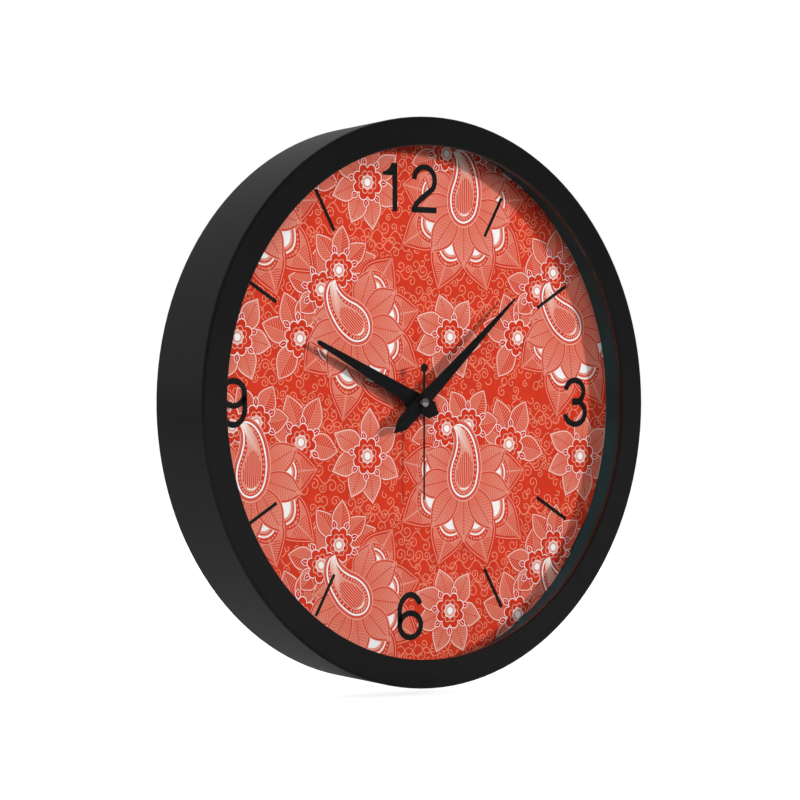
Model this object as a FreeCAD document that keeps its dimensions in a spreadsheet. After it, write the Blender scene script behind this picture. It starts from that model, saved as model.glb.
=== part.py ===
import FreeCAD, Part
import os
import re
import Sketcher

# Quartz wall clock with a deep round case.
#
# Frame: the origin is on the axis of the hands, in the plane of the wall.  +Z is up, +X is to
# the right of somebody who reads the clock, and the face looks along -Y.  "Depth" below is the
# distance from the wall towards the reader, so a point at depth d has y = -d.
#
# Sketches on an XZ plane see the clock from the front: their x is X, their y is Z, and their
# normal points at the reader, so a pad grows forwards.  Profiles that are turned about the axis
# of the hands lie in the XY plane, with the radius as x and minus the depth as y.

DIMENSIONS = [
    ("case_radius", 150.0, "case, outer radius at the front edge"),
    ("case_back_radius", 147.0, "case, outer radius at the wall"),
    ("case_depth", 44.0, "case, wall to the front of the lip"),
    ("case_wall", 2.4, "case, thickness of the side wall"),
    ("lip_inner_radius", 134.8, "case, inner radius of the flat front lip"),
    ("lip_thickness", 2.2, "case, thickness of the lip"),
    ("rim_round", 1.6, "case, rounding of the outer front edge"),
    ("lip_round", 0.7, "case, rounding of the lip's inner edge"),
    ("rib_inner_radius", 141.8, "case, inner reach of the locating ribs"),
    ("rib_outer_radius", 147.4, "case, where ribs end inside the side wall"),
    ("rib_width", 1.6, "case, width of a rib"),
    ("rib_count", 12, "case, number of locating ribs"),
    ("plate_screw_circle", 143.6, "circle of the screws that hold the dial plate"),
    ("plate_screw_count", 6, "number of those screws"),
    ("plate_boss_radius", 1.9, "outer radius of a screw boss"),
    ("plate_boss_hole", 1.05, "radius of the hole in a screw boss"),
    ("plate_boss_bore_depth", 14.0, "depth of the hole in a screw boss"),
    ("screw_clearance", 0.05, "radial clearance of every screw shank in its hole"),
    ("plate_screw_head_radius", 2.3, "dial screws, radius of the head"),
    ("plate_screw_head_height", 1.6, "dial screws, height of the head"),
    ("plate_screw_head_round", 0.6, "dial screws, rounding of the head"),
    ("plate_screw_length", 12.0, "dial screws, length of the shank"),
    ("plate_screw_cross_arm", 1.3, "dial screws, arm of the cross recess"),
    ("plate_screw_cross_half", 0.25, "dial screws, half width of the cross recess"),
    ("plate_screw_cross_depth", 0.9, "dial screws, depth of the cross recess"),
    ("gasket_thickness", 0.5, "foam gasket between lip and glass"),
    ("gasket_inner_radius", 136.2, "foam gasket, inner radius"),
    ("glass_radius", 141.5, "glass, radius"),
    ("glass_thickness", 2.0, "glass, thickness"),
    ("glass_arris", 0.3, "glass, rounding of the arrises"),
    ("spacer_front_radius", 139.5, "spacer ring, inner radius at the glass"),
    ("spacer_dial_radius", 140.6, "spacer ring, inner radius at the dial"),
    ("spacer_outer_radius", 141.45, "spacer ring, outer radius"),
    ("dial_depth", 24.5, "depth of the printed face"),
    ("sheet_thickness", 0.3, "printed dial sheet, thickness"),
    ("sheet_radius", 141.3, "printed dial sheet, radius"),
    ("sheet_hole_gap", 0.3, "printed dial sheet, hole beyond the plate's hole"),
    ("plate_thickness", 2.5, "dial plate, thickness"),
    ("plate_radius", 145.8, "dial plate, radius"),
    ("plate_notch_radius", 1.25, "dial plate, half width of a screw notch"),
    ("plate_rib_height", 4.0, "dial plate, height of the stiffening ribs"),
    ("plate_rib_width", 1.6, "dial plate, width of the stiffening ribs"),
    ("plate_ring_radius", 96.0, "dial plate, radius of the stiffening ring"),
    ("plate_rib_start", 46.0, "dial plate, inner end of a radial rib"),
    ("plate_rib_end", 139.0, "dial plate, outer end of a radial rib"),
    ("plate_hole_radius", 3.7, "dial plate, hole for the movement's neck"),
    ("hook_gap", 0.3, "dial plate, gap between movement ledge and hook"),
    ("hook_thickness", 1.8, "dial plate, thickness of a hook's arm"),
    ("hook_height", 8.0, "dial plate, height of a hook along Z"),
    ("hook_catch_reach", 1.3, "dial plate, inward reach of a hook's catch"),
    ("hook_catch_slope", 0.7, "dial plate, slope on a hook's catch"),
    ("hook_catch_gap", 0.1, "dial plate, gap between ledge and catch"),
    ("bracket_reach", 33.2, "hanger bracket, half width over its legs"),
    ("bracket_steel", 1.2, "hanger bracket, sheet thickness"),
    ("bracket_foot", 9.5, "hanger bracket, length of a foot"),
    ("bracket_bottom", 92.0, "hanger bracket, lower edge"),
    ("bracket_height", 22.0, "hanger bracket, height along Z"),
    ("bracket_back", 1.4, "hanger bracket, depth of its back face"),
    ("bracket_boss_x", 38.0, "screw bosses of the bracket, distance from the middle"),
    ("bracket_boss_z", 103.0, "screw bosses of the bracket, height"),
    ("bracket_boss_radius", 4.0, "screw bosses of the bracket, radius"),
    ("bracket_boss_height", 5.0, "screw bosses of the bracket, height"),
    ("bracket_boss_hole", 1.25, "screw bosses of the bracket, hole radius"),
    ("bracket_boss_bore_depth", 1.0, "screw bosses of the bracket, bore beyond the plate's back"),
    ("bracket_hole_radius", 1.7, "hanger bracket, screw holes in the feet"),
    ("bracket_screw_head_radius", 2.9, "hanger screws, radius of the head"),
    ("bracket_screw_head_height", 1.9, "hanger screws, height of the head"),
    ("bracket_screw_head_round", 0.8, "hanger screws, rounding of the head"),
    ("bracket_screw_length", 6.2, "hanger screws, length of the shank"),
    ("bracket_screw_cross_arm", 1.6, "hanger screws, arm of the cross recess"),
    ("bracket_screw_cross_half", 0.3, "hanger screws, half width of the cross recess"),
    ("bracket_screw_cross_depth", 1.1, "hanger screws, depth of the cross recess"),
    ("keyhole_z", 99.5, "keyhole, height of the round entry"),
    ("keyhole_entry", 4.2, "keyhole, radius of the entry"),
    ("keyhole_slot", 2.1, "keyhole, half width of the slot"),
    ("keyhole_rise", 7.5, "keyhole, entry centre to slot end centre"),
    ("movement_half_width", 28.0, "movement, half width"),
    ("movement_top", 26.0, "movement, top edge above the hands' axis"),
    ("movement_bottom", 30.2, "movement, bottom edge below the hands' axis"),
    ("movement_front", 21.0, "movement, depth of its front face"),
    ("movement_back", 4.4, "movement, depth of its back face"),
    ("movement_wall", 1.2, "movement, side wall thickness"),
    ("movement_floor", 1.5, "movement, front wall thickness"),
    ("movement_round", 2.0, "movement, rounding of the corners"),
    ("cover_thickness", 1.2, "movement cover, thickness"),
    ("partition_top", 12.9, "movement, battery partition, upper face below the axis"),
    ("partition_bottom", 13.9, "movement, battery partition, lower face below the axis"),
    ("joint_overlap", 0.5, "overlap of two solids that are joined to one"),
    ("contact_slot", 0.5, "movement, slot in the partition beside each contact"),
    ("ledge_reach", 2.0, "movement, width of the side ledges"),
    ("ledge_thickness", 3.8, "movement, depth of the side ledges"),
    ("ledge_height", 10.0, "movement, height of a side ledge"),
    ("upper_ledge_z", 13.0, "movement, middle of the upper ledges"),
    ("lower_ledge_z", 20.0, "movement, middle of the lower ledges below the axis"),
    ("neck_radius", 3.5, "movement, outer radius of the neck"),
    ("neck_end", 26.0, "movement, depth of the neck's end"),
    ("washer_radius", 9.0, "rubber washer behind the dial plate, radius"),
    ("washer_gap", 0.1, "rubber washer, gap round the neck"),
    ("arbor_radius", 0.40, "steel-thin arbors of the train wheels"),
    ("second_arbor_radius", 0.45, "second hand's arbor"),
    ("bearing_gap", 0.06, "radial running clearance in every bearing"),
    ("boss_radius", 1.2, "bearing bosses of the movement"),
    ("train_boss_end", 15.2, "front bosses of third and intermediate arbor, depth of the end"),
    ("rotor_boss_end", 13.2, "front boss of the rotor, depth of the end"),
    ("front_bore_depth", 3.2, "front bosses, depth of the bore"),
    ("second_rear_boss_end", 8.9, "rear boss of the second arbor, depth of the end"),
    ("third_rear_boss_end", 11.2, "rear boss of the third arbor, depth of the end"),
    ("intermediate_rear_boss_end", 7.8, "rear boss of the intermediate arbor, depth of the end"),
    ("rotor_rear_boss_end", 7.6, "rear boss of the rotor, depth of the end"),
    ("arbor_back", 6.4, "rotor and intermediate arbor, depth of the rear end"),
    ("rotor_arbor_front", 15.0, "rotor arbor, depth of the front end"),
    ("intermediate_arbor_front", 17.0, "intermediate arbor, depth of the front end"),
    ("third_arbor_back", 6.6, "third arbor, depth of the rear end"),
    ("third_arbor_front", 18.0, "third arbor, depth of the front end"),
    ("second_arbor_back", 6.2, "second arbor, depth of the rear end"),
    ("second_arbor_tip", 1.2, "second arbor, reach beyond the needle's back"),
    ("minute_tube_radius", 1.5, "minute tube, outer radius"),
    ("cannon_radius", 1.35, "minute tube, radius behind its pinion"),
    ("hour_pipe_radius", 2.5, "hour pipe, outer radius"),
    ("minute_pin_radius", 0.7, "pin of the minute wheel"),
    ("minute_pin_end", 15.3, "pin of the minute wheel, depth of the rear end"),
    ("minute_pin_foot", 18.9, "pin of the minute wheel, depth of its shoulder"),
    ("minute_pin_foot_radius", 1.3, "pin of the minute wheel, radius of its shoulder"),
    ("knob_stem_radius", 1.5, "setting knob, stem"),
    ("knob_radius", 5.5, "setting knob, grip"),
    ("knob_back", 1.6, "setting knob, depth of its back"),
    ("knob_front", 3.9, "setting knob, depth of the grip's front"),
    ("knob_round", 0.5, "setting knob, rounding of the grip"),
    ("knob_flutes", 18, "setting knob, number of flutes"),
    ("knob_flute_radius", 0.75, "setting knob, radius of a flute"),
    ("knob_flute_offset", 0.35, "setting knob, flute centre beyond the grip"),
    ("knob_recess_rim", 1.9, "setting knob, rim left round the recess"),
    ("knob_recess_floor", 2.2, "setting knob, depth of the recess floor"),
    ("knob_stem_front", 15.6, "setting knob, depth of the stem's front end"),
    ("knob_pin_radius", 0.8, "setting knob, radius of the front pin"),
    ("knob_pin_end", 19.0, "setting knob, depth of the front pin's end"),
    ("knob_boss_end", 17.6, "setting knob's front boss, depth of the end"),
    ("knob_boss_radius", 1.9, "setting knob's front boss, radius"),
    ("knob_pinion_back", 15.4, "setting knob's pinion, depth of the back"),
    ("knob_pinion_width", 1.8, "setting knob's pinion, width"),
    ("third_x", 9.18, "third wheel, distance left of the hands' axis"),
    ("intermediate_x", 9.0, "intermediate wheel, distance right of the axis"),
    ("rotor_x", 14.6, "rotor, distance right of the axis"),
    ("minute_wheel_z", 7.2, "minute wheel, distance above the axis"),
    ("knob_z", 15.0, "setting knob, distance above the axis"),
    ("rotor_module", 0.20, "gear module, rotor pinion and intermediate wheel"),
    ("second_module", 0.30, "gear module, intermediate pinion and second wheel"),
    ("third_module", 0.27, "gear module, second pinion and third wheel"),
    ("centre_module", 0.255, "gear module, third pinion and centre wheel"),
    ("motion_module", 0.30, "gear module, cannon pinion, minute wheel and knob"),
    ("hour_module", 0.288, "gear module, minute pinion and hour wheel"),
    ("rotor_pinion_teeth", 8, "teeth"),
    ("intermediate_teeth", 48, "teeth"),
    ("intermediate_pinion_teeth", 10, "teeth"),
    ("second_teeth", 50, "teeth"),
    ("second_pinion_teeth", 8, "teeth"),
    ("third_teeth", 60, "teeth"),
    ("third_pinion_teeth", 8, "teeth"),
    ("centre_teeth", 64, "teeth"),
    ("cannon_teeth", 12, "teeth"),
    ("minute_wheel_teeth", 36, "teeth"),
    ("minute_pinion_teeth", 10, "teeth"),
    ("hour_teeth", 40, "teeth"),
    ("knob_teeth", 16, "teeth"),
    ("magnet_back", 9.8, "rotor magnet, depth of the back"),
    ("magnet_front", 12.0, "rotor magnet, depth of the front"),
    ("rotor_pinion_back", 8.0, "rotor pinion, depth of the back"),
    ("rotor_pinion_width", 1.2, "rotor pinion, width"),
    ("train_wheel_width", 0.8, "intermediate, second and third wheel, width"),
    ("intermediate_hub_radius", 1.0, "intermediate wheel, hub radius"),
    ("intermediate_hub_back", 8.0, "intermediate wheel, depth of the hub's back"),
    ("intermediate_hub_front", 10.7, "intermediate wheel, depth of the hub's front"),
    ("intermediate_wheel_back", 8.2, "intermediate wheel, depth of the back"),
    ("intermediate_pinion_back", 9.4, "intermediate pinion, depth of the back"),
    ("intermediate_pinion_width", 1.2, "intermediate pinion, width"),
    ("second_hub_radius", 0.65, "second wheel, hub radius"),
    ("second_hub_back", 9.2, "second wheel, depth of the hub's back"),
    ("second_hub_front", 12.6, "second wheel, depth of the hub's front"),
    ("second_wheel_back", 9.6, "second wheel, depth of the back"),
    ("second_collar_radius", 0.9, "second wheel, radius of the collar behind the pinion"),
    ("second_collar_back", 10.3, "second wheel, depth of the collar's back"),
    ("second_collar_front", 11.3, "second wheel, depth of the collar's front"),
    ("second_pinion_back", 11.2, "second pinion, depth of the back"),
    ("second_pinion_width", 1.4, "second pinion, width"),
    ("third_hub_radius", 0.75, "third wheel, hub radius"),
    ("third_hub_back", 11.3, "third wheel, depth of the hub's back"),
    ("third_hub_front", 14.8, "third wheel, depth of the hub's front"),
    ("third_wheel_back", 11.6, "third wheel, depth of the back"),
    ("third_pinion_back", 13.0, "third pinion, depth of the back"),
    ("third_pinion_width", 1.8, "third pinion, width"),
    ("centre_wheel_back", 13.4, "centre wheel, depth of the back"),
    ("centre_wheel_width", 1.0, "centre wheel, width"),
    ("clutch_gap", 0.02, "clutch spring, gap round the minute tube"),
    ("clutch_sheet", 0.3, "clutch spring, sheet thickness"),
    ("clutch_inner_back", 15.0, "clutch spring, depth of its inner edge"),
    ("clutch_outer_back", 14.45, "clutch spring, depth of its outer edge"),
    ("clutch_radius", 3.0, "clutch spring, radius"),
    ("flange_radius", 2.2, "minute tube, radius of the flange behind the centre wheel"),
    ("flange_back", 12.8, "minute tube, depth of the flange's back"),
    ("flange_front", 13.3, "minute tube, depth of the flange's front"),
    ("cannon_shoulder", 17.1, "minute tube, depth where its radius grows"),
    ("cannon_pinion_back", 15.4, "cannon pinion, depth of the back"),
    ("cannon_pinion_width", 1.5, "cannon pinion, width"),
    ("minute_hub_radius", 1.15, "minute wheel, hub radius"),
    ("minute_wheel_back", 15.6, "minute wheel, depth of the back"),
    ("minute_wheel_width", 1.0, "minute wheel, width"),
    ("minute_pinion_back", 17.0, "minute pinion, depth of the back"),
    ("minute_pinion_width", 1.7, "minute pinion, width"),
    ("hour_wheel_back", 17.2, "hour wheel, depth of the back"),
    ("hour_wheel_width", 1.1, "hour wheel, width"),
    ("coil_x", 22.6, "coil, distance right of the hands' axis"),
    ("coil_depth", 10.0, "coil, depth of its axis"),
    ("coil_flange_radius", 3.3, "coil bobbin, flange radius"),
    ("coil_barrel_radius", 1.5, "coil bobbin, barrel radius"),
    ("coil_half_length", 9.8, "coil bobbin, half length"),
    ("coil_flange_width", 0.8, "coil bobbin, thickness of a flange"),
    ("coil_core_half_width", 1.0, "coil core, half width"),
    ("coil_core_gap", 0.05, "coil core, gap in the bobbin"),
    ("winding_gap", 0.5, "coil winding, step below the flange"),
    ("lead_radius", 0.15, "coil leads, wire radius"),
    ("lead_first_x", -2.2, "coil leads, first lead from the coil's axis"),
    ("lead_second_x", 0.6, "coil leads, second lead from the coil's axis"),
    ("lead_overlap", 1.5, "coil leads, length over the circuit board"),
    ("stator_depth", 10.4, "stator, depth of its back face"),
    ("stator_thickness", 0.8, "stator and coil core, thickness"),
    ("stator_half_height", 12.4, "stator, half height"),
    ("stator_screw_z", 11.3, "stator screws, distance from the middle"),
    ("stator_left_reach", 3.2, "stator, reach left of the rotor's axis"),
    ("stator_right_reach", 2.0, "stator, reach right of the coil's axis"),
    ("stator_leg_width", 2.2, "stator, width of a leg"),
    ("stator_coil_gap", 0.9, "stator, gap beside the coil's flange"),
    ("stator_cut_reach", 3.0, "stator, reach of the coil opening right of the coil's axis"),
    ("magnet_gap", 0.6, "stator, air gap round the magnet"),
    ("stator_hole_radius", 0.75, "stator and coil core, radius of a screw hole"),
    ("stator_screw_radius", 0.65, "stator screws, radius of the shank"),
    ("stator_screw_length", 5.5, "stator screws, length of the shank"),
    ("stator_screw_head_radius", 1.1, "stator screws, radius of the head"),
    ("stator_screw_head_height", 0.9, "stator screws, height of the head"),
    ("stator_screw_cross_arm", 0.7, "stator screws, arm of the cross recess"),
    ("stator_screw_cross_half", 0.16, "stator screws, half width of the cross recess"),
    ("stator_screw_cross_depth", 0.45, "stator screws, depth of the cross recess"),
    ("stator_post_radius", 1.5, "stator posts, radius"),
    ("stator_post_bore", 0.7, "stator posts, radius of the bore"),
    ("stator_post_bore_depth", 5.0, "stator posts, depth of the bore"),
    ("rotor_magnet_radius", 2.0, "rotor magnet, radius"),
    ("board_left", 3.6, "circuit board, left edge"),
    ("board_right", 26.0, "circuit board, right edge"),
    ("board_bottom", 13.6, "circuit board, lower edge"),
    ("board_top", 24.2, "circuit board, upper edge"),
    ("board_depth", 6.8, "circuit board, depth of its back face"),
    ("board_thickness", 1.0, "circuit board, thickness"),
    ("board_peg_inset", 2.0, "circuit board, pegs from the left, right and upper edge"),
    ("board_peg_rise", 6.0, "circuit board, second peg above the lower edge"),
    ("board_hole_radius", 0.65, "circuit board, radius of a peg hole"),
    ("board_post_radius", 1.3, "circuit board's posts, radius"),
    ("board_peg_radius", 0.6, "circuit board's pegs, radius"),
    ("board_peg_reach", 0.4, "circuit board's pegs, reach behind the board"),
    ("board_peg_root", 0.1, "circuit board's pegs, length inside the post"),
    ("chip_x", 8.0, "clock chip, distance from the board's left edge"),
    ("chip_z", 5.0, "clock chip, distance from the board's lower edge"),
    ("chip_radius", 2.7, "clock chip, radius of the resin drop"),
    ("chip_shoulder_radius", 2.5, "clock chip, radius of the drop's shoulder"),
    ("chip_shoulder", 0.3, "clock chip, height of the drop's shoulder"),
    ("chip_crown_radius", 1.5, "clock chip, radius of the drop's crown"),
    ("chip_crown", 0.8, "clock chip, height of the drop's crown"),
    ("chip_height", 0.9, "clock chip, height of the drop"),
    ("crystal_x", 4.0, "crystal can, distance from the board's left edge"),
    ("crystal_z", 3.0, "crystal can, distance from the board's lower edge"),
    ("crystal_radius", 1.0, "crystal can, radius"),
    ("crystal_length", 6.0, "crystal can, length"),
    ("battery_radius", 7.1, "battery, radius"),
    ("battery_left", 24.5, "battery, flat end left of the middle"),
    ("battery_right", 24.7, "battery, shoulder right of the middle"),
    ("battery_nub_radius", 2.6, "battery, radius of the positive nub"),
    ("battery_nub_length", 1.3, "battery, length of the positive nub"),
    ("battery_bevel", 0.6, "battery, bevel of the ends"),
    ("battery_z", 21.45, "battery, axis below the hands' axis"),
    ("battery_depth", 12.05, "battery, depth of its axis"),
    ("contact_thickness", 0.4, "battery contacts, sheet thickness"),
    ("contact_x", 26.3, "battery contacts, inner face"),
    ("contact_front", 15.5, "battery contacts, depth of the front edge"),
    ("contact_foot", 4.0, "positive contact, reach below the battery's axis"),
    ("contact_rise", 3.0, "positive contact, top edge above the board's lower edge"),
    ("contact_tab_rise", 1.0, "positive contact, lower edge of the tab above the board's lower edge"),
    ("contact_tab", 2.6, "positive contact, length of the tab on the board"),
    ("spring_half_height", 5.0, "negative contact, half height of the bowed spring"),
    ("spring_thickness_z", 0.4, "negative contact, sheet of the spring seen along its height"),
    ("spring_crown", 1.0, "negative contact, half height of the spring's crown"),
    ("spring_crown_inner", 0.8, "negative contact, half height inside the spring's crown"),
    ("spring_gap", 0.25, "negative contact, gap between spring and battery"),
    ("spring_sheet", 0.35, "negative contact, sheet thickness of the spring"),
    ("spring_back", 1.0, "negative contact, spring's back edge in front of the strip's"),
    ("spring_width", 5.0, "negative contact, width of the spring"),
    ("strip_gap", 0.1, "negative contact, gap under the movement's top wall"),
    ("strip_width", 4.0, "negative contact, width of the strip along the top"),
    ("strip_inner", 4.0, "negative contact, inner edge of the tab from the board's left edge"),
    ("strip_outer", 6.0, "negative contact, outer edge of the tab from the board's left edge"),
    ("strip_overlap", 1.6, "negative contact, length of the tab on the board"),
    ("blade_thickness", 0.45, "hour and minute hand, sheet thickness"),
    ("second_blade_thickness", 0.3, "second hand, sheet thickness"),
    ("hour_blade_depth", 31.8, "hour hand, depth of the blade's back"),
    ("minute_blade_depth", 33.8, "minute hand, depth of the blade's back"),
    ("second_blade_depth", 35.8, "second hand, depth of the blade's back"),
    ("hour_angle", 294.8, "hour hand, degrees clockwise from 12"),
    ("minute_angle", 49.5, "minute hand, degrees clockwise from 12"),
    ("second_angle", 180.0, "second hand, degrees clockwise from 12"),
    ("hour_length", 75.0, "hour hand, axis to tip"),
    ("hour_half_width", 4.95, "hour hand, half width at the tail's shoulders"),
    ("hour_shoulder", 9.4, "hour hand, axis to the tail's shoulders"),
    ("hour_tail", 14.7, "hour hand, axis to the tail's point"),
    ("hour_tip_half_width", 1.25, "hour hand, half width near the tip"),
    ("hour_tip_length", 1.2, "hour hand, length of the bevelled tip"),
    ("hour_tip_bevel", 0.5, "hour hand, loss of half width over the tip"),
    ("hour_hole_gap", 0.05, "hour hand, gap round the hour pipe"),
    ("hour_bush_length", 4.2, "hour hand's collet, reach behind the blade"),
    ("hour_bush_wall", 0.8, "hour hand's collet, wall"),
    ("hour_flange_back", 0.8, "hour hand's collet, flange's back edge behind the blade"),
    ("hour_flange_edge", 0.6, "hour hand's collet, flange's rim behind the blade"),
    ("hour_flange_wall", 1.7, "hour hand's collet, radial width at the flange"),
    ("minute_length", 86.0, "minute hand, axis to tip"),
    ("minute_half_width", 4.1, "minute hand, half width at the axis"),
    ("minute_shoulder", 17.4, "minute hand, axis to the tail's shoulders"),
    ("minute_tail", 25.0, "minute hand, axis to the tail's point"),
    ("minute_tip_half_width", 0.6, "minute hand, half width near the tip"),
    ("minute_taper_start", 0.5, "minute hand, axis to the start of the taper"),
    ("minute_tip_length", 0.5, "minute hand, length of the bevelled tip"),
    ("minute_tip_bevel", 0.3, "minute hand, loss of half width over the tip"),
    ("minute_hole_gap", 0.4, "minute hand, room for the rivet round the minute tube"),
    ("minute_bush_length", 1.1, "minute hand's collet, reach behind the blade"),
    ("minute_bush_wall", 1.3, "minute hand's collet, wall behind the blade"),
    ("minute_rivet_wall", 1.6, "minute hand's collet, radial width of the rivet at the blade"),
    ("minute_rivet_top", 1.2, "minute hand's collet, radial width of the rivet's top"),
    ("minute_rivet_height", 0.4, "minute hand's collet, height of the rivet"),
    ("second_length", 51.0, "second hand, axis to tip"),
    ("second_half_width", 0.6, "second hand, half width of the needle"),
    ("second_tail_half_width", 0.75, "second hand, half width of the tail"),
    ("second_tail", 18.3, "second hand, axis to the counterweight's middle"),
    ("second_weight_radius", 2.35, "second hand, radius of the counterweight"),
    ("second_eye_radius", 1.8, "second hand, radius of the disc round the arbor"),
    ("second_flare", 2.5, "second hand, length over which the needle narrows"),
    ("second_taper", 0.15, "second hand, loss of half width towards the tip"),
    ("second_tube_length", 1.0, "second hand's tube, reach behind the needle"),
    ("second_tube_radius", 1.0, "second hand's tube, radius"),
    ("second_flange_radius", 1.6, "second hand's tube, radius of its flange"),
    ("second_flange_height", 0.35, "second hand's tube, thickness of its flange"),
    ("cap_radius", 2.35, "second hand's cap, radius"),
    ("cap_skirt", 0.9, "second hand's cap, height of the straight skirt"),
    ("cap_shoulder", 1.4, "second hand's cap, height of the dome's shoulder"),
    ("cap_crown", 1.75, "second hand's cap, height of the dome's crown"),
    ("cap_height", 1.9, "second hand's cap, height"),
    ("cap_shoulder_share", 0.82, "second hand's cap, radius at the shoulder as a share"),
    ("cap_crown_share", 0.5, "second hand's cap, radius at the crown as a share"),
]

# Depths and radii that follow from the driving dimensions.
LIP_BACK = "(case_depth - lip_thickness)"
GLASS_FRONT = "(case_depth - lip_thickness - gasket_thickness)"
GLASS_BACK = "(case_depth - lip_thickness - gasket_thickness - glass_thickness)"
PLATE_FRONT = "(dial_depth - sheet_thickness)"
PLATE_BACK = "(dial_depth - sheet_thickness - plate_thickness)"
BRACKET_FOOT_BACK = f"({PLATE_BACK} - bracket_boss_height - bracket_steel)"
MOVEMENT_INSIDE = "(movement_front - movement_floor)"
COVER_FRONT = "(movement_back + cover_thickness)"
BORE = "(arbor_radius + bearing_gap)"
SECOND_BORE = "(second_arbor_radius + bearing_gap)"
COIL_INSIDE = "(coil_half_length - coil_flange_width)"
BOARD_PEGS = (("(board_left + board_peg_inset)", "(board_top - board_peg_inset)"),
              ("(board_right - board_peg_inset)", "(board_bottom + board_peg_rise)"))

# Tooth shape, in modules.  The addendum is shorter on a pinion, and the teeth are thin enough
# to leave backlash through the whole mesh.
DEDENDUM = 1.25
WHEEL_ADDENDUM = 0.95
PINION_ADDENDUM = 0.75
PITCH_HALF_THICKNESS = 0.60
TIP_HALF_THICKNESS = 0.22
WHEEL_ROOT_HALF_THICKNESS = 0.70
PINION_ROOT_HALF_THICKNESS = 0.60
TOOTH_SINK = 0.30

doc = FreeCAD.newDocument("WallClock")
sheet = doc.addObject("Spreadsheet::Sheet", "Dims")
for row, (alias, size, meaning) in enumerate(DIMENSIONS, start=1):
    sheet.set(f"A{row}", alias)
    sheet.set(f"B{row}", str(size))
    sheet.setAlias(f"B{row}", alias)
    sheet.set(f"C{row}", meaning)
doc.recompute()

ALIASES = {alias for alias, _, _ in DIMENSIONS}
bodies = []


# ---------------------------------------------------------------- modelling helpers

def bound(text):
    """The expression with every alias in it pointing at the sheet."""
    def point_at_sheet(match):
        word = match.group(0)
        return f"Dims.{word}" if word in ALIASES else word
    return re.sub(r"[A-Za-z_]\w*", point_at_sheet, str(text))


def value(text):
    """The number that an expression has now."""
    return float(sheet.evalExpression(bound(text)))


def new_body(label, x="0", depth="0", z="0"):
    """An empty body whose own origin stands at (x, depth, z)."""
    body = doc.addObject("PartDesign::Body", label)
    body.Label = label
    body.AllowCompound = True
    body.Placement = FreeCAD.Placement()
    body.setExpression("Placement.Base.x", bound(x))
    body.setExpression("Placement.Base.y", bound(f"-({depth})"))
    body.setExpression("Placement.Base.z", bound(z))
    bodies.append(body)
    return body


def sketch_on(body, role, offset="0", turn="0"):
    """A sketch on one of the body's origin planes, moved along its normal and turned."""
    plane = next(feature for feature in body.Origin.OriginFeatures if feature.Role == role)
    sketch = body.newObject("Sketcher::SketchObject", f"{body.Name}_sketch")
    sketch.AttachmentSupport = [(plane, "")]
    sketch.MapMode = "FlatFace"
    sketch.setExpression("AttachmentOffset.Base.z", bound(offset))
    sketch.setExpression("AttachmentOffset.Rotation.Angle", bound(turn))
    return sketch


def front_sketch(body, depth="0", turn="0"):
    """A sketch seen from the front, at a depth, turned anticlockwise by an angle."""
    return sketch_on(body, "XZ_Plane", depth, turn)


def fix_point(sketch, geometry, point, x, y):
    """Hold one point of a sketch at (x, y), both expressions."""
    for kind, text in (("DistanceX", x), ("DistanceY", y)):
        number = sketch.addConstraint(Sketcher.Constraint(kind, -1, 1, geometry, point, value(text)))
        sketch.setExpression(f"Constraints[{number}]", bound(text))


def polygon(sketch, points):
    """A closed outline of straight lines through points given as expressions."""
    corners = [FreeCAD.Vector(value(x), value(y), 0) for x, y in points]
    first = sketch.GeometryCount
    count = len(corners)
    for i in range(count):
        sketch.addGeometry(Part.LineSegment(corners[i], corners[(i + 1) % count]), False)
    for i in range(count):
        following = first + (i + 1) % count
        sketch.addConstraint(Sketcher.Constraint("Coincident", first + i, 2, following, 1))
    for i, (x, y) in enumerate(points):
        fix_point(sketch, first + i, 1, x, y)


def rectangle(sketch, left, right, bottom, top):
    """A rectangle between four expressions."""
    polygon(sketch, [(left, bottom), (right, bottom), (right, top), (left, top)])


def circle(sketch, x, y, radius):
    """A circle about a point, all expressions."""
    centre = FreeCAD.Vector(value(x), value(y), 0)
    normal = FreeCAD.Vector(0, 0, 1)
    number = sketch.addGeometry(Part.Circle(centre, normal, value(radius)), False)
    fix_point(sketch, number, 3, x, y)
    size = sketch.addConstraint(Sketcher.Constraint("Radius", number, value(radius)))
    sketch.setExpression(f"Constraints[{size}]", bound(radius))


def cross(sketch, x, y, arm, half):
    """A screwdriver cross about a point."""
    signs = [(1, 0), (0, 1), (-1, 0), (0, -1)]
    points = []
    for ux, uy in signs:
        for side in (-1, 1):
            points.append((f"{x} + ({ux}) * {arm} - ({side * uy}) * {half}",
                           f"{y} + ({uy}) * {arm} + ({side * ux}) * {half}"))
        points.append((f"{x} + ({ux - uy}) * {half}", f"{y} + ({uy + ux}) * {half}"))
    polygon(sketch, points)


def pad(body, sketch, length):
    """Material from the sketch along its normal."""
    feature = body.newObject("PartDesign::Pad", f"{body.Name}_pad")
    feature.Profile = sketch
    feature.setExpression("Length", bound(length))
    return feature


def pocket(body, sketch, length):
    """A cut from the sketch along its normal, which has to take something away."""
    doc.recompute()
    before = body.Shape.Volume
    feature = body.newObject("PartDesign::Pocket", f"{body.Name}_pocket")
    feature.Profile = sketch
    feature.setExpression("Length", bound(length))
    feature.Reversed = True
    doc.recompute()
    if body.Shape.Volume > before - 1e-6:
        raise RuntimeError(f"{feature.Name} cuts nothing")
    return feature


def revolve(body, sketch, axis="V_Axis"):
    """A full turn of the sketch about one of its own axes."""
    feature = body.newObject("PartDesign::Revolution", f"{body.Name}_turned")
    feature.Profile = sketch
    feature.ReferenceAxis = (sketch, [axis])
    feature.Angle = 360.0
    return feature


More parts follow.
